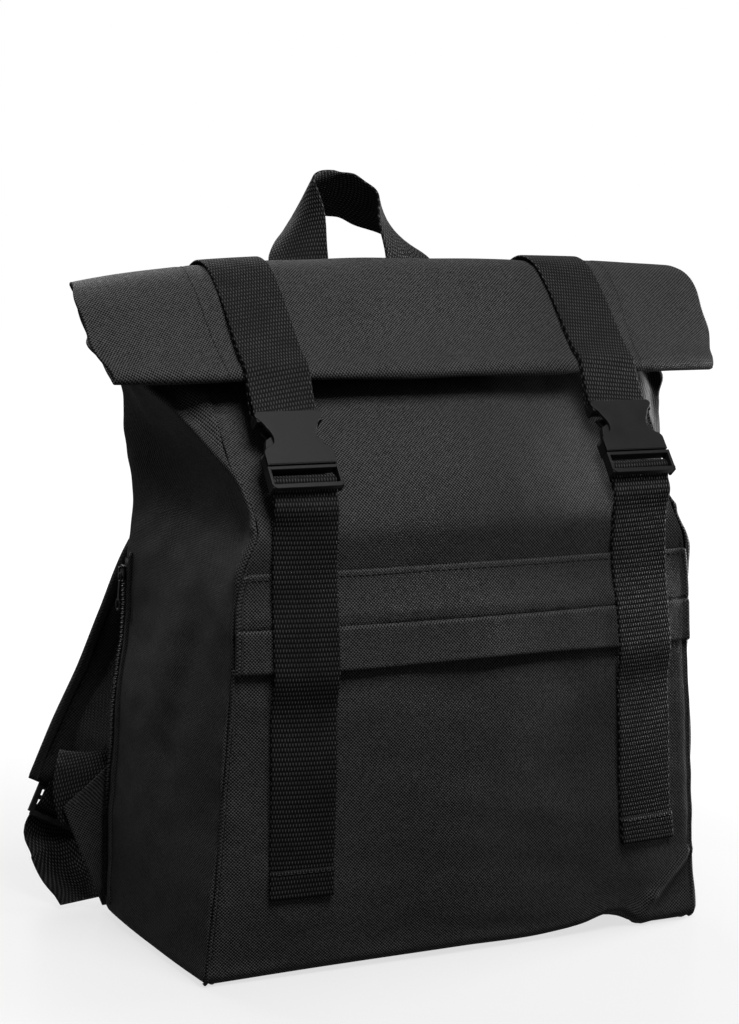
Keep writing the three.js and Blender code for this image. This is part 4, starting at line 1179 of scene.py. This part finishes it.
# Places down the middle of the left pad: out, back and up in shares, its turn in degrees and its fullness
PAD_STATIONS = np.array([
    (0.32, 0.965, 0.856, 0, 0.5), (0.32, 1.08, 0.81, 0, 0.7), (0.41, 1.24, 0.755, 0, 0.9),
    (0.51, 1.44, 0.69, 2, 1), (0.61, 1.6, 0.6, 4, 1), (0.71, 1.68, 0.48, 6, 1), (0.81, 1.68, 0.372, 6, 1),
    (0.93, 1.64, 0.27, 6, 1), (1.03, 1.59, 0.181, 6, 0.5),
])
PAD_WIDTH = 64
PAD_THICKNESS = 11
PAD_THINNEST = 0.75
WEB_WIDTH = 38
WEB_THICKNESS = 1.5
SIDES = (("left", 1), ("right", -1))


def left_point(out, back, up):
    """A place on the left of the bag from shares of its half width, half depth and neck height."""
    return np.stack([out, back, up], axis=-1) * (-HALF_WIDTH, HALF_DEPTH, NECK)


def squared(v, run):
    """The unit directions nearest to v that are square to the unit directions in `run`."""
    return unit(v - (v * run).sum(axis=-1, keepdims=True) * run)


PAD_LINE = left_point(*PAD_STATIONS[:, :3].T)


def pad_frames(count):
    """The pad's centre line, the direction across it, the direction out of it and its fullness."""
    knots = lengths(PAD_LINE)
    t = np.linspace(0, knots[-1], count)
    line = smooth_at(knots, PAD_LINE, t)
    yaw = np.radians(np.interp(t, knots, PAD_STATIONS[:, 3]))
    run = unit(np.gradient(line, axis=0))
    across = squared(np.stack([-np.cos(yaw), -np.sin(yaw), 0 * yaw], axis=1), run)
    full = np.maximum(PAD_THINNEST, np.interp(t, knots, PAD_STATIONS[:, 4]))
    return line, across, np.cross(across, run), full


def flipped(points, side):
    return points * (side, 1, 1)


def tube_faces(rings, around):
    """Quads between closed rings of points, with a flat end on each."""
    faces = []
    for i in range(rings - 1):
        for j in range(around):
            k = (j + 1) % around
            faces.append((i * around + j, i * around + k, (i + 1) * around + k, (i + 1) * around + j))
    faces.append(tuple(range(around))[::-1])
    faces.append(tuple(range((rings - 1) * around, rings * around)))
    return faces


PAD_ROWS = 56
PAD_AROUND = 36
PAD_INSIDE = 0.99
PAD_EDGE = 2.4
PAD_SLACK = 2.9
PAD_CAP = 3.2
PAD_PUFF = 4 * MM


def puffed(piece):
    """Blows the pad up a little inside its cover, as foam fills cloth, and keeps the result."""
    remesh = piece.modifiers.new("Even", "REMESH")
    remesh.mode = "VOXEL"
    remesh.voxel_size = 4 * MM
    apply_modifiers(piece)
    start = np.array([v.co for v in piece.data.vertices])
    cloth = piece.modifiers.new("Fill", "CLOTH")
    cloth.settings.use_pressure = True
    cloth.settings.uniform_pressure_force = 4
    cloth.settings.effector_weights.gravity = 0
    for moment in range(1, 21):
        SCENE.frame_set(moment)
    apply_modifiers(piece)
    SCENE.frame_set(1)
    moved = np.array([v.co for v in piece.data.vertices]) - start
    far = np.linalg.norm(moved, axis=1, keepdims=True)
    kept = start + moved * np.minimum(1, PAD_PUFF / np.maximum(far, 1e-9))
    piece.data.vertices.foreach_set("co", kept.ravel())
    smooth = piece.modifiers.new("Smooth", "SUBSURF")
    smooth.levels = 1
    smooth.render_levels = 1
    apply_modifiers(piece)
    piece.data.shade_smooth()


def apply_modifiers(piece):
    graph = bpy.context.evaluated_depsgraph_get()
    mesh = bpy.data.meshes.new_from_object(piece.evaluated_get(graph))
    piece.modifiers.clear()
    piece.data = mesh


def pad_swell(share):
    """How full the pad is at a share of its half width: 1 in the middle and 0 at the edge."""
    return max(0.0, 1 - abs(share) ** 3.4) ** (1 / 2.2)


def pad_face(line, across, out, full, share):
    """A line down the outer face of the pad at a share of its width."""
    lift = 1.2 + pad_swell(2 * share) * PAD_THICKNESS / 2
    return line + across * (share * PAD_WIDTH) + out * (lift * full)[:, None]


def shoulder_pad(name, side):
    line, across, out, full = pad_frames(PAD_ROWS)
    line[0] += unit(line[0] - line[1]) * PAD_CAP
    line[-1] += unit(line[-1] - line[-2]) * PAD_CAP
    rings = []
    for a in np.linspace(0, 2 * math.pi, PAD_AROUND, endpoint=False):
        reach = 0.5 * PAD_INSIDE * math.sin(a) * PAD_WIDTH
        lift = PAD_EDGE + pad_swell(math.sin(a)) * (PAD_THICKNESS / 2 - PAD_SLACK)
        lift = math.copysign(lift, math.cos(a))
        rings.append(line + across * reach + out * (lift * full)[:, None])
    points = flipped(np.array(rings).transpose(1, 0, 2).reshape(-1, 3), side)
    piece = mesh_object(f"pad_{name}", points, tube_faces(PAD_ROWS, PAD_AROUND), pad_cloth)
    puffed(piece)
    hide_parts(f"shoulder_pad_{name}")


BOUND_AT = 0.44
BINDING_ROWS = 120
BINDING_REACH = 3.4
BINDING_HALF = 4.6
BINDING_TURN = 112


def pad_binding(name, side):
    """Cloth binding folded over both long edges of the pad and round its lower end."""
    line, across, out, full = pad_frames(BINDING_ROWS)
    reach = across * (BOUND_AT * PAD_WIDTH)
    edge = np.concatenate([line - reach, (line + reach)[::-1]])
    outward = np.concatenate([-across, across[::-1]])
    lift = out * full[:, None]
    lift = np.concatenate([lift, lift[::-1]])
    turns = np.radians(np.linspace(-BINDING_TURN, BINDING_TURN, 13))
    grid = np.array([edge + outward * (BINDING_REACH * math.cos(a)) + lift * (BINDING_HALF * math.sin(a))
                     for a in turns])
    band(f"pad_binding_{name}", flipped(grid.transpose(1, 0, 2), side), 0.7, base_cloth)


# The ladder lock, in a frame of its own: z runs up the strap from its middle
LOCK_TOP = 9
LOCK_FOOT = 13
LOCK_HALF = 23
LOCK_BARS = ((5.5, 9), (-1.5, 1.5), (-13, -9.5))
LOCK_WINDOW = 19.6
GRIP_HEIGHTS = (-12.4, -11.2, -10.1)


def lock_frame():
    """Where the ladder lock hangs: its middle, and its directions across, out of and up the strap."""
    run = unit(PAD_LINE[-1] - PAD_LINE[-2])
    yaw = math.radians(PAD_STATIONS[-1, 3])
    across = squared(np.array([math.cos(yaw), math.sin(yaw), 0]), run)
    return PAD_LINE[-1] + run * (LOCK_TOP + GAP), across, np.cross(across, run), -run


def ladder_lock(name, side):
    centre, across, out, up = lock_frame()

    def hang(co):
        return flipped(centre + across * co.x + out * co.y + up * co.z, side)

    foot = -LOCK_FOOT + 2
    parts = [block(end * LOCK_WINDOW, end * LOCK_HALF, -1.5, 1.5, foot, LOCK_TOP) for end in (-1, 1)]
    parts += [block(-LOCK_HALF + 2, LOCK_HALF - 2, -1.5, 1.5, low, high) for low, high in LOCK_BARS]
    parts += [block(-LOCK_WINDOW + 2, LOCK_WINDOW - 2, 1.2, 1.9, z, z + 0.7) for z in GRIP_HEIGHTS]
    hard_piece(f"lock_{name}", parts, hang, buckle_plastic, f"ladder_lock_{name}", edge=0.6)


# The adjusting webbing: up to the lock in shares of the bag, through the lock as distances behind its middle
# and above it, and down from it in shares again
ADJUSTER_RISE = ((1.04, 1.1, 0.165), (1.06, 1.12, 0.215), (1.03, 1.19, 0.25), (1, 1.3, 0.268), (1, 1.4, 0.25))
ADJUSTER_IN_LOCK = ((-9, 18), (-5.2, 10), (-3.4, 5.5), (-2.8, 1.5), (-2.8, -1.5), (-1.4, -4.2), (1.4, -6.8),
                    (3.5, -9.5), (4.5, -13), (5.2, -19))
ADJUSTER_TAIL = ((1.09, 1.56, 0.09), (1.07, 1.46, 0.055), (1.04, 1.33, 0.028), (1.03, 1.2, 0.012))


def adjuster(name, side):
    centre, across, out, up = lock_frame()
    level = np.array([1.0, 0, 0])
    stations = [(left_point(*row), level) for row in ADJUSTER_RISE]
    stations += [(centre + out * behind + up * above, across) for behind, above in ADJUSTER_IN_LOCK]
    stations += [(left_point(*row), level) for row in ADJUSTER_TAIL]
    at, wide = np.array(stations).transpose(1, 0, 2)
    knots = lengths(at)
    t = np.linspace(0, knots[-1], 130)
    line = smooth_at(knots, at, t)
    wide = squared(smooth_at(knots, wide, t), unit(np.gradient(line, axis=0)))
    grid = flipped(strip_from(line, wide, WEB_WIDTH, WEB_SHARES), side)
    webbing(f"adjuster_webbing_{name}", grid, (f"adjuster_{name}",), thickness=WEB_THICKNESS)


TAB_ROOT = 0.87
# How far out the tab reaches at each height, as shares of the neck's height and of the half width
TAB_REACHES = np.array([
    (0.011, 1), (0.08, 1.055), (0.16, 1.12), (0.19, 1.143), (0.223, 1.05), (0.253, 0.965),
])
TAB_THICKNESS = 2.4


def strap_tab(name, side):
    rows = []
    for up in np.linspace(TAB_REACHES[0, 0], TAB_REACHES[-1, 0], 44):
        z = up * NECK
        reach = np.interp(up, TAB_REACHES[:, 0], TAB_REACHES[:, 1])
        x = -HALF_WIDTH * (TAB_ROOT + (reach - TAB_ROOT) * np.linspace(0, 1, 26))
        y = back_y(x, z) + GAP + 0.2 + TAB_THICKNESS / 2 + 0.7 * np.sin(x / 9 + z / 15)
        rows.append(level_row(x, y, z))
    grid = flipped(np.array(rows), side)
    band(f"tab_cloth_{name}", grid, TAB_THICKNESS - 0.6, shell_cloth, (f"strap_tab_{name}",),
         edge=0.6)
    return grid


tab_skins = {}
for side_name, side in SIDES:
    shoulder_pad(side_name, side)
    pad_binding(side_name, side)
    ladder_lock(side_name, side)
    adjuster(side_name, side)
    tab_skins[side_name] = strap_tab(side_name, side)


# The zip on the left side

ZIP_LOW = 12
ZIP_HIGH = 233
ZIP_FROM_BACK = 2
ZIP_WIDTH = 13
ZIP_CENTRE = ZIP_FROM_BACK + ZIP_WIDTH / 2
ZIP_ROWS = 70
COIL_PITCH = 1.5
COIL_SIZE = (4.6, 1.2, 0.95)
COIL_STANDOFF = 1.75
COIL_STAGGER = 0.7
# Each welt beside the zip: distances in front of the back across it, and how far it stands off there
WELTS = (
    ("front", (15.5, 16.6, 18.2, 20), (1.0, 1.5, 1.1, 0.25)),
    ("rear", (1.8, 0.6, -0.8, -2.6), (0.25, 1.1, 1.5, 1.0)),
)


def side_place(z, ahead):
    """A place on the left side's cloth at a height and a distance in front of the back."""
    heights = left_skin[:, 8, 2]
    i = int(np.clip(np.searchsorted(heights, z) - 1, 0, len(heights) - 2))
    share = (z - heights[i]) / (heights[i + 1] - heights[i])
    row = left_skin[i] * (1 - share) + left_skin[i + 1] * share
    row = row[np.argsort(row[:, 1])]
    row = row[row[:, 0] < -120]
    y = float(section_at(z)["back"]) - ahead
    return np.array([np.interp(y, row[:, 1], row[:, 0]), y, z])


def side_strip(low, high, places, off):
    """A grid on the left side's cloth, standing off it by one distance or by one for each place."""
    grid = np.array([[side_place(z, ahead) for ahead in places] for z in np.linspace(low, high, ZIP_ROWS)])
    normal = grid_normals(grid)
    normal *= np.where(normal[..., :1] > 0, -1, 1)
    return grid + normal * np.broadcast_to(off, (len(places),))[None, :, None]


def box_row(name, centres, along, across, out, size, material, slot):
    """Many small rounded blocks as one mesh: each has a middle, three directions and one size."""
    shape = np.array([(x, y, z) for z, k in ((-1, 0.6), (-0.5, 1), (0.5, 1), (1, 0.6))
                      for x, y in ((-k, -k), (k, -k), (k, k), (-k, k))], float)
    offset = shape * (np.array(size) / 2)
    points = centres[:, None] + offset[:, :1] * across[:, None]
    points = points + offset[:, 1:2] * out[:, None] + offset[:, 2:] * along[:, None]
    faces = np.array(tube_faces(4, 4)) + len(shape) * np.arange(len(centres))[:, None, None]
    mesh_object(name, points.reshape(-1, 3), faces.reshape(-1, 4).tolist(), material)


def zip_pieces():
    places = ZIP_FROM_BACK + ZIP_WIDTH * np.array([1, 0.8, 0.62, 0.5, 0.38, 0.2, 0])
    tape = side_strip(ZIP_LOW, ZIP_HIGH, places, 0.75)
    band("zip_tape_cloth", tape, 0.6, zip_fabric, ("zip_tape",))
    count = int((ZIP_HIGH - ZIP_LOW - 14) / COIL_PITCH)
    middle = np.array([side_place(z, ZIP_CENTRE) for z in np.linspace(ZIP_LOW + 2, ZIP_HIGH - 12, count)])
    out, across, along = [np.tile(way, (count, 1)) for way in ((-1.0, 0, 0), (0, 1.0, 0), (0, 0, 1.0))]
    stagger = np.where(np.arange(count) % 2, COIL_STAGGER, -COIL_STAGGER)[:, None]
    middle += out * COIL_STANDOFF + stagger * across
    box_row("zip_coil", middle, along, across, out, COIL_SIZE, coil_plastic, "zip_tape")
    for name, ahead, off in WELTS:
        strip = side_strip(ZIP_LOW - 2, ZIP_HIGH + 5, ahead, off)
        band(f"zip_welt_{name}", strip, 0.8, shell_cloth)


zip_pieces()


RING_STEPS = 28
WIRE_STEPS = 8


def ring_part(radius, wire, centre_z):
    """A wire ring in the x and z plane of its own frame."""
    def build(mesh):
        rows = []
        for a in np.linspace(0, 2 * math.pi, RING_STEPS, endpoint=False):
            row = []
            for b in np.linspace(0, 2 * math.pi, WIRE_STEPS, endpoint=False):
                reach = radius + wire * math.cos(b)
                z = centre_z + reach * math.sin(a)
                row.append(mesh.verts.new((reach * math.cos(a), wire * math.sin(b), z)))
            rows.append(row)
        for i in range(RING_STEPS):
            for j in range(WIRE_STEPS):
                k, m = (i + 1) % RING_STEPS, (j + 1) % WIRE_STEPS
                mesh.faces.new((rows[i][j], rows[k][j], rows[k][m], rows[i][m]))
    return build


# The slider, in a frame of its own at its middle: its outline, and the blocks of its bridge
SLIDER = ((-4, 4.4), (-2.4, 5), (2.4, 5), (4, 4.4), (3.2, -4.6), (-3.2, -4.6))
BRIDGE = ((-3.2, -2.2, -3.4, 3.6), (-3.0, -0.6, 2.6, 3.8), (-3.0, -0.6, -3.8, -2.6))
SLIDER_STANDOFF = 2.4
PULL_STANDOFF = 5.2
PULL_LENGTH = 31


def zip_hardware():
    """The slider with its bridge, and the pull: a ring, a narrow neck and a second ring as its end."""
    at = side_place(ZIP_HIGH - 9, ZIP_CENTRE)
    foot = side_place(ZIP_HIGH - 40, ZIP_CENTRE + 4)
    slope = (foot[0] - at[0]) / PULL_LENGTH

    def on_tape(co):
        return (at[0] - SLIDER_STANDOFF + co.y, at[1] + co.x, at[2] + co.z)

    def hang(co):
        x = at[0] - PULL_STANDOFF + co.y - slope * co.z
        return (x, at[1] + co.x - 1.5 - co.z * 0.06, at[2] - 5 + co.z)

    body = [slab(SLIDER, -0.9, 0.9)] + [block(-1.1, 1.1, *row) for row in BRIDGE]
    hard_piece("slider_body", body, on_tape, slider_metal, "zip_slider", edge=0.35)
    pull = [ring_part(2.6, 0.7, 2.2), block(-1.4, 1.4, -0.6, 0.6, -12, -0.4), ring_part(3.4, 0.9, -15.6)]
    hard_piece("pull_tab", pull, hang, slider_metal, "zip_pull", edge=0.25)


zip_hardware()


# Stitches

STITCH = 2.7
STITCH_GAP = 1.2
THREAD = 0.55
PAD_SEAM = 0.39
ROLL_STITCHES_AT = 146
FRONT_WAY = (0, -1, 0)
ROLL_WAY = (0, -0.7, 0.7)
BACK_WAY = (0, 1, 0)


def line_inset(grid, inset, far=False):
    """Along a grid, the points at a distance from one side edge, with the surface's normals there."""
    normal = grid_normals(grid)
    if far:
        grid = grid[:, ::-1]
        normal = normal[:, ::-1]
    run = distances(grid, 1)
    points, lift = [np.array([sampled(field[i], run[i], inset) for i in range(len(grid))])
                    for field in (grid, normal)]
    return points, unit(lift)


def line_at_height(grid, z):
    """Across a grid, the points at one height, with the surface's normals there."""
    points, lift = [], []
    for column, normal in zip(grid.transpose(1, 0, 2), grid_normals(grid).transpose(1, 0, 2)):
        order = np.argsort(column[:, 2])
        points.append(sampled(column[order], column[order, 2], z))
        lift.append(sampled(normal[order], column[order, 2], z))
    return np.array(points), unit(np.array(lift))


def stitches(name, lines, facing, lift=0.15):
    """Rows of sewn thread as one mesh; `facing` is the way out of the cloth."""
    rows = []
    pace = STITCH + STITCH_GAP
    for points, normals in lines:
        run = lengths(points)
        at = np.arange(pace, run[-1] - pace, pace)
        start, end = sampled(points, run, at), sampled(points, run, at + STITCH)
        out = unit(sampled(normals, run, at))
        out *= np.where(out @ facing < 0, -1, 1)[:, None]
        along = unit(end - start)
        rows.append(((start + end) / 2 + out * lift, along, unit(np.cross(along, out)), out))
    joined = [np.concatenate(part) for part in zip(*rows)]
    box_row(name, *joined, (THREAD, THREAD, STITCH), black_thread_and_groove_shade, "shell_cloth")


def both_edges(grid):
    return [line_inset(grid, STITCH_INSET, far) for far in (False, True)]


def raised(lines, shift):
    return [(points + shift, normals) for points, normals in lines]


def all_stitches():
    stitches("pocket_stitches", both_edges(pocket_skin[6:-12]), FRONT_WAY)
    flap_rows = both_edges(flap_skin)
    flap_rows += [line_at_height(flap_skin[:, 3:-3], z) for z in (HEM_HEIGHT + 1.2, FLAP_TOP - 3.2)]
    stitches("flap_stitches", raised(flap_rows, (0, -1.0, 0)), FRONT_WAY)
    roll_rows = []
    for seam in (-ROLL_STITCHES_AT, ROLL_STITCHES_AT):
        j = int(np.argmin(np.abs(roll_skin[40, :, 0] - seam)))
        roll_rows.append((roll_skin[12:88, j] + roll_out[12:88, j] * 1.1, roll_out[12:88, j]))
    stitches("roll_stitches", roll_rows, ROLL_WAY)
    for (name, _), hem in zip(LANES, tail_hems):
        stitches(f"tail_stitches_{name}", [(hem, np.tile(FRONT_WAY, (len(hem), 1)))], FRONT_WAY)
    line, across, out, full = pad_frames(BINDING_ROWS)
    for name, side in SIDES:
        seams = [pad_face(line, across, out, full, share)[8:-6] for share in (-PAD_SEAM, PAD_SEAM)]
        rows = [(flipped(seam, side), flipped(out[8:-6], side)) for seam in seams]
        stitches(f"pad_stitches_{name}", rows, BACK_WAY, lift=0.4)
        tab_row = line_inset(tab_skins[name], 3.5, far=True)
        stitches(f"tab_stitches_{name}", raised([tab_row], (0, 1.1, 0)), BACK_WAY)
    stitches("back_stitches", both_edges(back_skin[8:-4]), BACK_WAY)


all_stitches()


# Lights, floor and camera

# The studio's lamps: where each stands and how wide it is, in metres, and its strength in watts
LAMPS = (
    ("Key", (-0.05, -0.9, 1.5), 0.7, 20.5),
    ("Right rim", (1.4, 0.06, 0.35), 0.5, 30),
    ("Back", (-0.2, 1.6, 1.5), 1.2, 24),
)
AMBIENT = 0.11


def backdrop():
    """White where the camera sees it, and a weak light on everything else."""
    world = bpy.data.worlds.new("Studio")
    SCENE.world = world
    world.use_nodes = True
    nodes = world.node_tree.nodes
    links = world.node_tree.links
    surround = nodes["Background"]
    path = nodes.new("ShaderNodeLightPath")
    strength = nodes.new("ShaderNodeMapRange")
    strength.inputs["To Min"].default_value = AMBIENT
    strength.inputs["To Max"].default_value = 1.0
    links.new(path.outputs["Is Camera Ray"], strength.inputs["Value"])
    links.new(strength.outputs[0], surround.inputs["Strength"])
    surround.inputs["Color"].default_value = (1, 1, 1, 1)


def studio():
    backdrop()
    floor_mesh = bpy.data.meshes.new("Floor")
    floor_mesh.from_pydata([(-9, -9, 0), (9, -9, 0), (9, 9, 0), (-9, 9, 0)], [], [(0, 1, 2, 3)])
    floor_mesh.materials.append(pale_floor("Pale floor"))
    floor = bpy.data.objects.new("floor", floor_mesh)
    floor.visible_diffuse = False
    floor.visible_glossy = False
    SCENE.collection.objects.link(floor)
    for name, at, size, watts in LAMPS:
        lamp = bpy.data.lights.new(name, "AREA")
        lamp.energy = watts
        lamp.size = size
        light = bpy.data.objects.new(name, lamp)
        light.location = at
        light.rotation_euler = (Vector((0, 0, 0.2)) - Vector(at)).to_track_quat("-Z", "Y").to_euler()
        SCENE.collection.objects.link(light)
    lens = bpy.data.cameras.new("Camera")
    lens.sensor_fit = "VERTICAL"
    lens.sensor_height = FILM_HEIGHT
    lens.lens = LENS
    camera = bpy.data.objects.new("Camera", lens)
    camera.location = Vector(CAMERA_AT) * MM
    camera.rotation_euler = (math.radians(CAMERA_TILT), 0, math.radians(CAMERA_TURN))
    SCENE.collection.objects.link(camera)
    SCENE.camera = camera
    SCENE.view_settings.view_transform = "Standard"


studio()
